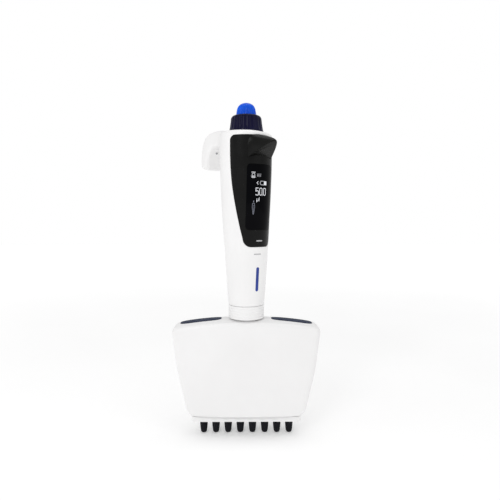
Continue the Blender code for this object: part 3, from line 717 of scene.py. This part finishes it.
def bar(x0, y0, x1, y1):
    """A filled box as one thick stroke."""
    return ([(0.5 * (x0 + x1), y0), (0.5 * (x0 + x1), y1)], abs(x1 - x0), False)


def build_display_marks():
    # volume read-out
    h, w, s = 4.80, 2.15, 0.47
    strokes = [(digit_five(-4.55, w, h), s, False),
               (digit_zero(-1.50, w, h, 0.85), s, True),
               bar(1.02, -0.22, 1.5, 0.26),
               (digit_zero(1.95, w, h, 0.85), s, True)]
    strokes_mesh("display_digits", strokes, 0.0, 163.4, "segment")
    # unit sign
    unit = [([(-3.75, -0.75), (-3.55, 1.9)], 0.30, False),
            ([(-3.6, 0.75), (-3.35, 0.15), (-2.9, 0.1), (-2.55, 0.5)], 0.28, False),
            ([(-2.45, 1.9), (-2.55, 0.3), (-2.3, 0.05)], 0.30, False),
            ([(-1.65, 2.7), (-1.75, 0.0)], 0.34, False)]
    strokes_mesh("display_unit", unit, 0.0, 159.2, "segment")
    # battery: outline and filled charge, with a small arrowhead before it
    bat = [([(-0.6, 0.1), (4.7, 0.1), (4.7, 2.6), (-0.6, 2.6), (-0.6, 2.0), (-1.1, 2.0), (-1.1, 0.7), (-0.6, 0.7)],
            0.22, True),
           bar(2.3, 0.25, 4.55, 2.45),
           ([(-2.7, 2.4), (-3.8, 1.35), (-2.7, 0.3)], 0.34, False)]
    strokes_mesh("display_battery", bat, 0.0, 170.35, "segment")
    # mode sign: a tray with a cover
    mode = [([(-7.55, 3.7), (-4.75, 3.7)], 0.42, False),
            ([(-7.0, 2.9), (-5.3, 2.9), (-5.1, 1.2), (-7.2, 1.2)], 0.26, True),
            ([(-7.6, 0.55), (-4.7, 0.55)], 0.38, False),
            ([(-7.35, 0.0), (-4.95, 0.0)], 0.26, False)]
    strokes_mesh("display_mode", mode, -0.02, 175.1, "segment")
    bars = [([(-3.3 + 0.85 * k, 0.1), (-3.3 + 0.85 * k, 1.45)], 0.34, False) for k in range(4)]
    bars.append(([(-3.55, 1.85), (-0.15, 1.85)], 0.24, False))
    strokes_mesh("display_channels", bars, -0.01, 175.8, "segment_mid")
    # fitted tip sign
    x = -5.95
    tip = [([(x, 8.3), (x, 9.6)], 0.45, False),
           ([(x - 0.75, 7.7), (x + 0.75, 7.7), (x + 0.95, 5.4), (x + 0.2, 0.3), (x - 0.2, 0.3), (x - 0.95, 5.4)],
            0.24, True),
           ([(x - 0.55, 6.3), (x + 0.55, 6.3)], 0.22, False),
           ([(x - 0.5, 5.2), (x + 0.5, 5.2)], 0.22, False),
           ([(x, 4.4), (x, 1.6)], 0.26, False)]
    strokes_mesh("display_tip_sign", tip, 0.0, 150.0, "segment_dim")


def capsule(length, n=6, horizontal=True):
    return [(-length / 2, 0), (length / 2, 0)] if horizontal else [(0, -length / 2), (0, length / 2)]


def pill_mesh(name, phi0, z0, half_w, half_h, mat, lift=0.02, thick=0.05):
    """Round-ended plain mark on the skin."""
    r = min(half_w, half_h)
    rows = []
    n = 28
    for k in range(n + 1):
        t = -1 + 2 * k / n
        y = half_h * math.sin(math.pi / 2 * t)
        over = abs(y) - (half_h - r)
        hw = half_w if over <= 0 else half_w - r + math.sqrt(max(0.0, r * r - over * over))
        rows.append((y, max(hw, 0.03)))
    top, bot = [], []
    for y, hw in rows:
        rz = float(handle_r(z0 + y))
        xs = np.linspace(-hw, hw, 9) / rz + phi0
        zz = np.full_like(xs, z0 + y)
        top.append(on_skin(xs, zz, lift + thick))
        bot.append(on_skin(xs, zz, lift))
    v = np.concatenate([np.array(top).reshape(-1, 3), np.array(bot).reshape(-1, 3)])
    m = (n + 1) * 9
    f = grid_faces(n + 1, 9) + [tuple(i + m for i in reversed(q)) for q in grid_faces(n + 1, 9)]
    ring = ([j for j in range(9)] + [9 * i + 8 for i in range(1, n + 1)]
            + [9 * n + j for j in range(7, -1, -1)] + [9 * i for i in range(n - 1, 0, -1)])
    for a, b in zip(ring, ring[1:] + ring[:1]):
        f.append((a, b, b + m, a + m))
    return mesh(name, turn(v), f, mat, "handle", sharp=40, weld=0.00001)


# ---------------------------------------------------------------- finger hook
def build_hook():
    outer = [(13.4, 206.4), (15.4, 209.9), (18.8, 211.8), (23.2, 212.75), (28.4, 213.15), (33.8, 213.25), (39.0, 212.75),
             (43.4, 210.9), (46.9, 207.4), (49.1, 201.8), (50.2, 195.6), (50.5, 189.6)]
    inner = [(12.0, 191.0), (17.6, 193.2), (19.9, 196.6), (22.2, 199.7), (25.4, 200.95), (29.4, 201.1), (33.2, 200.85),
             (36.3, 199.1), (38.4, 196.4), (39.6, 193.2), (40.2, 190.0), (40.5, 187.6)]
    half = [12.0, 11.0, 9.9, 9.2, 8.75, 8.5, 8.5, 8.5, 8.5, 8.5, 8.5, 8.4]
    per = 5
    O, I = spline(outer, per), spline(inner, per)
    H = spline([(h, 0) for h in half], per)[:, 0]
    # rounded end: the section closes on itself past the last station
    oe, ie, he = O[-1], I[-1], H[-1]
    mid = 0.5 * (oe + ie)
    d = np.array([0.03, -1.0])
    for a in (18, 36, 54, 70, 82):
        c, s = math.cos(math.radians(a)), math.sin(math.radians(a))
        shift = d * 2.9 * s
        k = 1 - (1 - c) * 0.62
        O = np.vstack([O, mid + (oe - mid) * k + shift])
        I = np.vstack([I, mid + (ie - mid) * k + shift])
        H = np.append(H, he - (1 - c) * 2.6)
    verts = []
    cs = 5
    for o, i, h in zip(O, I, H):
        t = np.linalg.norm(o - i)
        u = (o - i) / t
        m = 0.5 * (o + i)
        r = min(3.1, 0.46 * t, 0.46 * 2 * h)
        sec = []
        for sx, sv, a0 in ((1, 1, 0), (-1, 1, 90), (-1, -1, 180), (1, -1, 270)):
            for k in range(cs + 1):
                a = math.radians(a0 + 90 * k / cs)
                x = sx * (h - r) + r * math.cos(a)
                v = sv * (t / 2 - r) + r * math.sin(a)
                sec.append((x, v))
        for x, v in sec:
            # the broad faces are very slightly crowned
            vv = v * (1 - 0.018 * (x / h) ** 2)
            q = m + u * vv
            verts.append((x, q[0], q[1]))
    n = 4 * (cs + 1)
    rows = len(O)
    faces = grid_faces(rows, n, True)
    faces.append(tuple(range(n)))
    faces.append(tuple((rows - 1) * n + k for k in range(n)))
    ob = mesh("finger_hook_body", turn(np.array(verts)), faces, "white_plastic", "handle", sharp=50)
    bevel(ob, 0.8, 3, 50)
    apply_all(ob, 50)
    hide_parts("finger_hook")
    return ob


# -------------------------------------------------------------- thumb trigger
def build_trigger():
    """Beak: the top falls to its edge, the underside is a slope that rises
    from the panel to the tip."""
    n = 57
    tip, root, half = 32.4, 15.2, 10.3
    rows = []
    xs = half * np.cos(np.pi * np.arange(n) / (n - 1))

    def plan(reach):
        return root + (reach - root) * (1 - (xs / half) ** 2) ** 1.2

    def under(y):
        # the slope runs up to the tip
        return 190.2 + (y - 18.0) * 0.565

    def row(y, z):
        rows.append(np.stack([xs, -y, z], -1))

    for cut_in, rise in ((1.2, 0.0), (0.68, 0.03), (0.30, 0.15), (0.09, 0.34), (0.0, 0.58), (0.05, 0.80), (0.2, 0.95)):
        y = plan(tip - cut_in)
        row(y, under(y) + rise)
    # upper surface: from the edge up to the panel's top
    y0 = plan(tip - 0.2)
    edge = under(y0) + 0.95
    y1 = np.sqrt(18.45 ** 2 - xs ** 2)
    ridge = 204.3 - 3.5 * (xs / half) ** 4
    steps = 18
    for k in range(1, steps + 1):
        t = k / steps
        row(y0 * (1 - t) + y1 * t, edge + (ridge - edge) * t ** 0.72)
    v = np.array(rows).reshape(-1, 3)
    faces = grid_faces(len(rows), n)
    top0 = (len(rows) - 1) * n
    # close underside and top towards the panel, and the back
    faces.append(tuple(range(n - 1, -1, -1)))
    faces.append(tuple(top0 + k for k in range(n)))
    back = [i * n for i in range(len(rows))] + [i * n + n - 1 for i in range(len(rows) - 1, -1, -1)]
    faces.append(tuple(back))
    ob = mesh("thumb_trigger", turn(v), faces, "trigger_black", "trigger", sharp=42)
    # the back follows the panel, with running clearance
    prof = [(0, 230), (19.0, 230), (19.0, 196), (18.98, 188), (0, 188)]
    phi = np.linspace(0, 2 * math.pi, 120, endpoint=False)
    cv, cf = [], []
    zs = [182.0, 186.0, 190.0, 194.0, 198.0, 202.0, 206.0]
    for z in zs:
        r = surf_r(phi, np.full_like(phi, z)) + 0.18
        cv.append(np.stack([r * np.sin(phi), -r * np.cos(phi), z + 0 * phi], -1))
    cv = np.array(cv).reshape(-1, 3)
    cf = grid_faces(len(zs), 120, True)
    cf.append(tuple(range(120)))
    cf.append(tuple((len(zs) - 1) * 120 + k for k in range(120)))
    cut(ob, tool(turn(cv), cf, "tool_trigger"))
    apply_all(ob, 40)
    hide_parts("ejector_button")
    # stem that goes in through the slot
    x0, x1, y0, y1, z0, z1 = -2.9, 2.9, -20.0, -8.4, 199.5, 202.3
    v = turn(np.array([(x, y, z) for z in (z0, z1) for x, y in ((x0, y0), (x1, y0), (x1, y1), (x0, y1))]))
    st = mesh("trigger_stem", v, [(0, 1, 2, 3), (4, 5, 6, 7), (0, 1, 5, 4), (1, 2, 6, 5), (2, 3, 7, 6), (3, 0, 4, 7)],
              "black_plastic", "trigger")
    bevel(st, 0.5, 3, 50)
    apply_all(st)
    return ob


# ------------------------------------------------------------- ring and button
def build_ring():
    prof = [(7.65, 215.6), (7.65, 219.3), (7.8, 219.65), (8.1, 219.8)]
    prof += [(8.8, 219.8), (9.4, 219.7), (9.95, 219.4), (10.4, 218.95), (10.75, 218.3), (10.95, 217.4)]
    prof += [(11.05, 216.4), (11.2, 215.2), (11.38, 213.8), (11.58, 212.4), (11.82, 211.0), (12.06, 209.8)]
    prof += [(12.36, 208.8), (12.38, 208.4), (12.1, 208.2), (11.4, 208.2), (9.0, 208.3), (4.8, 208.3), (4.8, 206.0),
             (2.9, 205.7), (2.9, 199.2), (1.85, 199.2), (1.85, 215.4)]
    flutes = 20

    def radial(r, z, phi):
        w = smooth(208.9, 210.4, z) * (1 - smooth(217.6, 219.6, z)) * (r > 8.4)
        c = 0.5 + 0.5 * np.cos(flutes * phi)
        return r - w * 0.38 * c ** 1.8
    v, f = lathe(prof, 240, radial, closed=True, turned_handle=True)
    ob = mesh("selector_knob", v, f, "navy_plastic", "ring", sharp=38)
    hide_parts("selector_ring")
    # button: fluted dome
    prof = [(0.0, 228.98), (1.2, 228.95), (2.4, 228.75), (3.5, 228.35), (4.45, 227.85), (5.2, 227.2), (5.8, 226.5),
            (6.2, 225.7), (6.5, 224.8), (6.7, 223.9), (6.88, 222.9), (7.02, 221.9), (7.16, 220.9), (7.28, 219.9),
            (7.34, 219.4), (7.2, 219.05), (7.0, 218.95), (1.45, 219.0), (1.45, 200.2), (0, 200.2)]
    flutes = 16

    def radial2(r, z, phi):
        w = smooth(219.8, 221.2, z) * (1 - smooth(226.0, 228.6, z)) * (r > 3.0)
        c = 0.5 + 0.5 * np.cos(flutes * phi)
        return r - w * 0.42 * c ** 1.6
    v, f = lathe(prof, 192, radial2, turned_handle=True)
    ob = mesh("blue_button", v, f, "blue_plastic", "button", sharp=42)
    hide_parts("start_button")


# ---------------------------------------------------------------- coupling nut
def build_nut():
    prof = [(11.2, 85.15), (12.55, 85.15)] + arc(12.5, 84.75, 0.4, 80, 0, 4)
    z = 84.4
    for k in range(4):
        zc = 83.2 - 1.95 * k
        prof += [(12.9, zc + 0.34), (12.84, zc + 0.22), (12.72, zc + 0.08), (12.70, zc), (12.72, zc - 0.08),
                 (12.84, zc - 0.22), (12.9, zc - 0.34)]
    prof += arc(12.5, 76.1, 0.4, 0, -80, 4) + [(12.3, 75.75), (9.45, 75.75), (9.45, 77.4), (11.2, 77.5)]
    v, f = lathe(prof, 144, closed=True, turned_handle=True)
    ob = mesh("coupling_ring", v, f, "white_plastic", "nut", sharp=40)
    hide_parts("coupling_nut")


# ================================================================ lower head
head_w = pchip([4.0, 4.6, 5.6, 7.0, 10.0, 12.9, 15.9, 21.9, 27.8, 33.7, 39.6, 45.5, 51.4, 57.2, 63.1, 67.0, 70.0],
               [39.4, 40.6, 41.9, 42.9, 43.95, 44.6, 45.25, 46.5, 47.85, 49.15, 50.15, 50.95, 51.65, 52.2, 52.85, 53.2, 53.35])
head_d = pchip([4.0, 5.0, 20.0, 45.0, 70.0], [8.2, 8.45, 8.95, 9.8, 10.4])
head_bow = pchip([4.0, 30.0, 70.0], [2.3, 2.5, 2.8])


def crown(x):
    return 75.4 - 0.0017 * x * x


def half_ring(z, inset, n_front=40, cseg=8):
    """Half outline of the head at one height: straight end, rounded corner and
    bowed face, as (x, depth) with depth positive."""
    w = float(head_w(z)) - inset
    d = float(head_d(z)) - inset
    bow = float(head_bow(z))
    c = max(1.2, 4.2 - inset * 0.7)
    pts = [(w, 0.06), (w, 0.5 * (d - c)), (w, d - c)]
    for k in range(1, cseg + 1):
        a = math.pi / 2 * k / cseg
        x = w - c + c * math.cos(a)
        pts.append((x, d - c + c * math.sin(a) + bow * (1 - (x / w) ** 2)))
    xs = np.linspace(w - c, -(w - c), n_front + 1)[1:-1]
    pts += [(x, d + bow * (1 - (x / w) ** 2)) for x in xs]
    for k in range(cseg, 0, -1):
        a = math.pi / 2 * k / cseg
        x = -(w - c + c * math.cos(a))
        pts.append((x, d - c + c * math.sin(a) + bow * (1 - (x / w) ** 2)))
    pts += [(-w, d - c), (-w, 0.5 * (d - c)), (-w, 0.06)]
    return pts


def head_half(name, side, node):
    """One shell of the head. The front one is the rear one's mirror image,
    without the screw holes."""
    rows = []
    F = 3.0
    zs = [4.35, 4.45, 4.75, 5.2, 5.8, 6.6, 7.8, 9.4, 11.5] + list(np.linspace(14, 68.2, 24))
    foot = {4.35: 1.0, 4.45: 0.55, 4.75: 0.2, 5.2: 0.03}
    for z in zs:
        lift = float(smooth(50.0, 68.2, z))
        rows.append([(x, y, z + lift * (crown(x) - 1.2 - F - 68.2)) for x, y in half_ring(z, foot.get(z, 0.0))])
    for k in range(1, 8):
        a = math.pi / 2 * k / 7
        base = half_ring(68.2 + 1.2 * k / 7, F * (1 - math.cos(a)))
        rows.append([(x, y, crown(x) - 1.2 - F + F * math.sin(a)) for x, y in base])
    last = rows[-1]
    for t in (0.12, 0.28, 0.46, 0.66, 0.84, 1.0):
        rows.append([(x, y * (1 - t) + 0.06 * t, z + (crown(x) - z) * (1 - (1 - t) ** 2)) for x, y, z in last])
    v = np.array(rows)
    n = v.shape[1]
    f = grid_faces(v.shape[0], n)
    me_v = v.reshape(-1, 3)
    me = bpy.data.meshes.new(name)
    me.from_pydata([tuple(float(c) * 0.001 for c in p) for p in me_v], [], f)
    bm = bmesh.new()
    bm.from_mesh(me)
    bmesh.ops.remove_doubles(bm, verts=bm.verts, dist=0.0000005)
    bmesh.ops.dissolve_degenerate(bm, dist=0.0000005, edges=bm.edges)
    # point the faces outwards
    c = sum((p.co for p in bm.verts), Vector()) / len(bm.verts)
    face = max(bm.faces, key=lambda q: q.calc_area())
    if (face.calc_center_median() - Vector((0, 0, c.z))).dot(face.normal) < 0:
        bmesh.ops.reverse_faces(bm, faces=bm.faces)
    bm.to_mesh(me)
    bm.free()
    ob = bpy.data.objects.new(name, me)
    bpy.context.scene.collection.objects.link(ob)
    me.materials.append(M["white_plastic"])
    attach(ob, "manifold")
    solidify(ob, 1.7)
    cut(ob, NECK_TOOL)
    for t in LENS_TOOLS:
        cut(ob, t)
    if side > 0:
        for t in SCREW_TOOLS:
            cut(ob, t)
    bevel(ob, 0.16, 2, 58)
    apply_all(ob)
    for dist in (0.012, 0.006, 0.003, 0.016):
        if is_closed(ob):
            break
        heal(ob, dist)
    if side < 0:
        for p in ob.data.vertices:
            p.co.y = -p.co.y
        ob.data.flip_normals()
        resharp(ob)
    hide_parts(node)
    return ob


INS_X0, INS_X1, INS_H = 18.1, 48.0, 4.9


def lens_half(x, grow=0.0):
    """Half width of a shoulder inlay: an even strip with blunt, rounded ends."""
    t = np.clip((np.abs(x) - INS_X0 + grow) / (INS_X1 - INS_X0 + 2 * grow), 0, 1)
    return (INS_H + grow) * (1 - np.abs(2 * t - 1) ** 4) ** 0.25


def lens_tool(s):
    n = 40
    g = 0.08
    xs = INS_X0 - g + (INS_X1 - INS_X0 + 2 * g) * (0.5 - 0.5 * np.cos(np.linspace(0, math.pi, n + 1)))
    loop = [(s * x, lens_half(x, g)) for x in xs] + [(s * x, -lens_half(x, g)) for x in xs[-2:0:-1]]
    m = len(loop)
    v = [(x, y, 60.0) for x, y in loop] + [(x, y, 90.0) for x, y in loop]
    f = [(k, (k + 1) % m, (k + 1) % m + m, k + m) for k in range(m)]
    f += [tuple(range(m)), tuple(range(m, 2 * m))]
    return tool(v, f, "tool_lens")


def build_inserts():
    for side, s in (("left", -1), ("right", 1)):
        n, c = 48, 13
        even = np.linspace(0, 1, n + 1)
        xs = INS_X0 + 0.12 + (INS_X1 - INS_X0 - 0.24) * (0.5 * even + 0.5 * (0.5 - 0.5 * np.cos(math.pi * even)))
        rows = []
        for x in xs:
            h = max(0.6, float(lens_half(x)) - 0.05)
            q = np.linspace(-1, 1, c)
            rows.append(np.stack([np.full(c, s * x), q * h, crown(x) + 0.06 + 0.22 * (1 - q ** 2) * min(1, h / 3)], -1))
        v = np.array(rows).reshape(-1, 3)
        f = grid_faces(n + 1, c)
        ob = mesh("shoulder_inlay_" + side, v, f, "slate_insert", "manifold")
        # face up
        if ob.data.polygons[len(ob.data.polygons) // 2].normal.z < 0:
            ob.data.flip_normals()
        solidify(ob, 1.3)
        bevel(ob, 0.10, 2, 55)
        apply_all(ob)
        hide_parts("shoulder_insert_" + side)


SCREWS = ((-42.0, 58.0), (42.0, 58.0), (-37.0, 16.0), (37.0, 16.0))


def back_y(x, z):
    w = float(head_w(z))
    return float(head_d(z)) + float(head_bow(z)) * (1 - (x / w) ** 2)


def y_lathe(profile, steps, x0, y0, z0):
    """Profile [(r, y)] turned about a line along Y."""
    p = np.asarray(profile, float)
    a = np.linspace(0, 2 * math.pi, steps, endpoint=False)
    v = np.stack([x0 + p[:, 0:1] * np.cos(a), y0 + np.repeat(p[:, 1:2], steps, 1), z0 + p[:, 0:1] * np.sin(a)], -1)
    return v.reshape(-1, 3), grid_faces(len(p), steps, True)


def build_screws():
    for k, (x, z) in enumerate(SCREWS, 1):
        y = back_y(x, z)
        prof = [(0, 1.28), (0.8, 1.26), (1.5, 1.1), (2.0, 0.8), (2.3, 0.45), (2.3, 0.1), (1.2, 0.1), (1.2, -5.5), (0, -5.5)]
        v, f = y_lathe(prof, 48, x, y - 0.05, z)
        ob = mesh("case_screw_head_%d" % k, v, f, "steel", "manifold", sharp=30)
        for ax, az in ((1.55, 0.3), (0.3, 1.55)):
            b = [(x + sx * ax, y + sy, z + sz * az) for sy in (0.55, 3.0) for sx, sz in ((-1, -1), (1, -1), (1, 1), (-1, 1))]
            cut(ob, tool(b, [(0, 1, 2, 3), (4, 5, 6, 7), (0, 1, 5, 4), (1, 2, 6, 5), (2, 3, 7, 6), (3, 0, 4, 7)], "tool_cross"))
        apply_all(ob, 30)
        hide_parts("case_screw_%d" % k)


# ------------------------------------------------------- bar, cones, contacts
CONES = [9.0 * (k - 3.5) for k in range(8)]


def round_plate(name, half_x, half_y, z0, z1, corner, mat, body, holes, edge, hole_steps=40):
    loop = []
    for sx, sy, a0 in ((1, 1, 0), (-1, 1, 90), (-1, -1, 180), (1, -1, 270)):
        for k in range(9):
            a = math.radians(a0 + 11.25 * k)
            loop.append((sx * (half_x - corner) + corner * math.cos(a), sy * (half_y - corner) + corner * math.sin(a)))
    m = len(loop)
    v = [(x, y, z0) for x, y in loop] + [(x, y, z1) for x, y in loop]
    f = [(k, (k + 1) % m, (k + 1) % m + m, k + m) for k in range(m)]
    f += [tuple(range(m)), tuple(range(m, 2 * m))]
    ob = mesh(name, v, f, mat, body)
    for x, y, r in holes:
        hv, hf = lathe([(r, z0 - 3), (r, z1 + 3)], hole_steps, None, x, y)
        hf = hf + [tuple(range(hole_steps)), tuple(range(hole_steps, 2 * hole_steps))]
        cut(ob, tool(hv, hf, "tool_hole"))
    bevel(ob, edge, 3, 50)
    apply_all(ob)
    return ob


def build_lower():
    ob = round_plate("ejector_strip", 39.7, 7.2, 0.0, 3.8, 2.4, "white_plastic", "tip_ejector",
                     [(x, 0, 3.2) for x in CONES], 0.45)
    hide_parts("ejector_bar")
    ob = round_plate("head_base", 37.4, 7.2, 5.2, 8.2, 4.0, "frame_plastic", "manifold",
                     [(x, 0, 3.12) for x in CONES] + [(-27, 5.2, 1.6), (27, 5.2, 1.6)], 0.25)
    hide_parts("base_plate")
    prof = [(1.5, 33.0), (3.0, 33.0), (3.2, 32.8), (3.2, 8.8), (3.0, 8.6), (2.92, 8.55), (2.92, 3.0), (2.90, -0.4),
            (2.88, -2.4), (2.82, -4.2), (2.70, -5.8), (2.54, -7.4), (2.40, -8.5), (2.28, -9.2), (2.10, -9.75),
            (1.78, -10.2), (1.40, -10.43), (0.90, -10.5), (0.68, -10.42), (0.6, -10.2), (0.6, 9.4), (1.5, 12.6)]
    for k, x in enumerate(CONES, 1):
        v, f = lathe(prof, 56, None, x, 0.0, closed=True)
        ob = mesh("nose_cone_%d" % k, v, f, "cone_plastic", "manifold", sharp=40)
        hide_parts("tip_cone_%d" % k)


def build_contacts():
    for side, x in (("left", -4.0), ("right", 4.0)):
        prof = [(0, 3.55), (0.45, 3.5), (0.8, 3.3), (0.98, 3.0), (1.0, 2.6), (1.0, 0.0), (0, 0.0)]
        v, f = y_lathe(prof, 32, x, 15.4, 190.0)
        ob = mesh("contact_pin_" + side, turn(v), f, "brass", "handle", sharp=35)
        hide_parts("charging_contact_" + side)


def build_stud():
    """Small dark contact stud on the hook's inner face."""
    base = np.array([-1.45, 37.1, 197.95])
    d = np.array([0.0, -0.786, -0.618])
    u = np.array([1.0, 0.0, 0.0])
    w = np.cross(d, u)
    prof = [(0, 0.75), (0.3, 0.73), (0.52, 0.62), (0.66, 0.45), (0.72, 0.2), (0.72, -1.2), (0, -1.2)]
    a = np.linspace(0, 2 * math.pi, 28, endpoint=False)
    v = []
    for r, h in prof:
        for t in a:
            v.append(base + d * h + r * (u * math.cos(t) + w * math.sin(t)))
    mesh("hook_contact_stud", turn(np.array(v)), grid_faces(len(prof), 28, True), "frame_plastic", "handle",
         sharp=35)


# --------------------------------------------------------------------- build
build_housing()
build_stud()
build_panel()
build_display_marks()
pill_mesh("stripe_blue", math.radians(-4.0), 104.8, 1.15, 8.6, "print_blue")
pill_mesh("dash_grey", math.radians(-6.0), 122.6, 2.9, 0.36, "print_grey")
pill_mesh("dash_white", math.radians(-1.5), 131.9, 2.5, 0.42, "print_grey")
build_hook()
build_trigger()
build_ring()
build_nut()

nv, nf_ = lathe([(9.5, 55.0), (9.5, 95.0)], 96)
NECK_TOOL = tool(nv, nf_ + [tuple(range(96)), tuple(range(96, 192))], "tool_neck")
LENS_TOOLS = [lens_tool(-1), lens_tool(1)]
SCREW_TOOLS = []
for x, z in SCREWS:
    v, f = y_lathe([(1.5, 4.0), (1.5, 20.0)], 32, x, 0.0, z)
    SCREW_TOOLS.append(tool(v, f + [tuple(range(32)), tuple(range(32, 64))], "tool_screw"))
head_half("head_front", -1, "manifold_front_shell")
head_half("head_rear", 1, "manifold_rear_shell")
build_inserts()
build_screws()
build_lower()
build_contacts()

for ob in TOOLS:
    me = ob.data
    bpy.data.objects.remove(ob, do_unlink=True)
    bpy.data.meshes.remove(me)

# CAD pieces that stay: procedural finishes by their record slot
slot_of = {s["node"]: s["material_slot"] for s in frame["record"]["subparts"]}
for node, ob in frame["nodes"].items():
    if ob.hide_render:
        continue
    mat = M.get(slot_of.get(node, ""), M["frame_plastic"])
    if node == "neck_sleeve":
        mat = M["white_plastic"]
    ob.data.materials.clear()
    ob.data.materials.append(mat)
    ob.data.shade_smooth()
    ob.data.set_sharp_from_angle(angle=math.radians(32))

# -------------------------------------------------------------- stage, lights
def floor():
    n = 24
    v, f = [], []
    z = -10.55
    for i in range(n + 1):
        for j in range(n + 1):
            v.append(((-1 + 2 * i / n) * 2600.0, (-1 + 2 * j / n) * 2600.0, z))
    f = grid_faces(n + 1, n + 1)
    me = bpy.data.meshes.new("floor")
    me.from_pydata([tuple(c * 0.001 for c in p) for p in v], [], f)
    ob = bpy.data.objects.new("floor", me)
    bpy.context.scene.collection.objects.link(ob)
    m = plastic("mat_floor", (0.90, 0.90, 0.90), (0.92, 0.92, 0.92), (0.75, 0.85), grain=500.0, grain_bump=0.02,
                patch=6.0, spec=0.1)
    # painted light: the floor glows, weakly near the object and more strongly far from it, so it stays white out to the
    # horizon while the cast shadow near the object still shows
    nt = m.node_tree
    bsdf = nt.nodes["Principled BSDF"]
    tc = nt.nodes.new("ShaderNodeTexCoord")
    ln = nt.nodes.new("ShaderNodeVectorMath")
    ln.operation = "LENGTH"
    nt.links.new(tc.outputs["Object"], ln.inputs[0])
    mr = nt.nodes.new("ShaderNodeMapRange")
    mr.interpolation_type = "SMOOTHSTEP"
    mr.inputs["From Min"].default_value = 0.12
    mr.inputs["From Max"].default_value = 1.3
    mr.inputs["To Min"].default_value = 0.18
    mr.inputs["To Max"].default_value = 0.42
    nt.links.new(ln.outputs["Value"], mr.inputs["Value"])
    bsdf.inputs["Emission Color"].default_value = (1, 1, 1, 1)
    nt.links.new(mr.outputs["Result"], bsdf.inputs["Emission Strength"])
    me.materials.append(m)
    if me.polygons[0].normal.z < 0:
        me.flip_normals()
    return ob


floor()


def area(name, loc, target, size, power, color=(1, 1, 1), size_y=None):
    l = bpy.data.lights.new(name, "AREA")
    l.energy = power
    l.color = color
    l.size = size
    if size_y:
        l.shape = "RECTANGLE"
        l.size_y = size_y
    o = bpy.data.objects.new(name, l)
    bpy.context.scene.collection.objects.link(o)
    o.location = loc
    d = Vector(target) - Vector(loc)
    o.rotation_euler = d.to_track_quat("-Z", "Y").to_euler()
    return o


area("key", (-0.42, -0.80, 0.66), (0, 0, 0.06), 0.40, 1.7)
area("fill_left", (-0.9, -0.25, 0.35), (0, 0, 0.12), 0.5, 0.5)
area("fill_right", (0.75, -0.55, 0.60), (0, 0, 0.06), 0.6, 0.7)
area("top_soft", (0.05, 0.0, 0.95), (0, 0, 0.1), 0.6, 1.3)

w = bpy.data.worlds.new("studio")
bpy.context.scene.world = w
w.use_nodes = True
wn = w.node_tree
bg = wn.nodes["Background"]
bg.inputs[0].default_value = (1, 1, 1, 1)
bg.inputs[1].default_value = 0.665
seen = wn.nodes.new("ShaderNodeBackground")
seen.inputs[0].default_value = (1, 1, 1, 1)
seen.inputs[1].default_value = 1.0
path = wn.nodes.new("ShaderNodeLightPath")
pick = wn.nodes.new("ShaderNodeMixShader")
wn.links.new(path.outputs["Is Camera Ray"], pick.inputs[0])
wn.links.new(bg.outputs[0], pick.inputs[1])
wn.links.new(seen.outputs[0], pick.inputs[2])
wn.links.new(pick.outputs[0], wn.nodes["World Output"].inputs["Surface"])

# --------------------------------------------------------------------- camera
cam = bpy.data.cameras.new("camera")
co = bpy.data.objects.new("camera", cam)
bpy.context.scene.collection.objects.link(co)
cam.sensor_width = 36.0
cam.lens = 456.3 / 500.0 * 36.0
cam.clip_start = 0.01
cam.clip_end = 20.0
co.location = (0.0, -0.330, 0.146)
yaw = math.atan(3.7 / 456.3)
pitch = math.radians(3.7)
fwd = Vector((math.sin(yaw) * math.cos(pitch), math.cos(yaw) * math.cos(pitch), -math.sin(pitch)))
co.rotation_euler = fwd.to_track_quat("-Z", "Y").to_euler()
bpy.context.scene.camera = co
bpy.context.scene.view_settings.view_transform = "Standard"
bpy.context.scene.view_settings.look = "None"
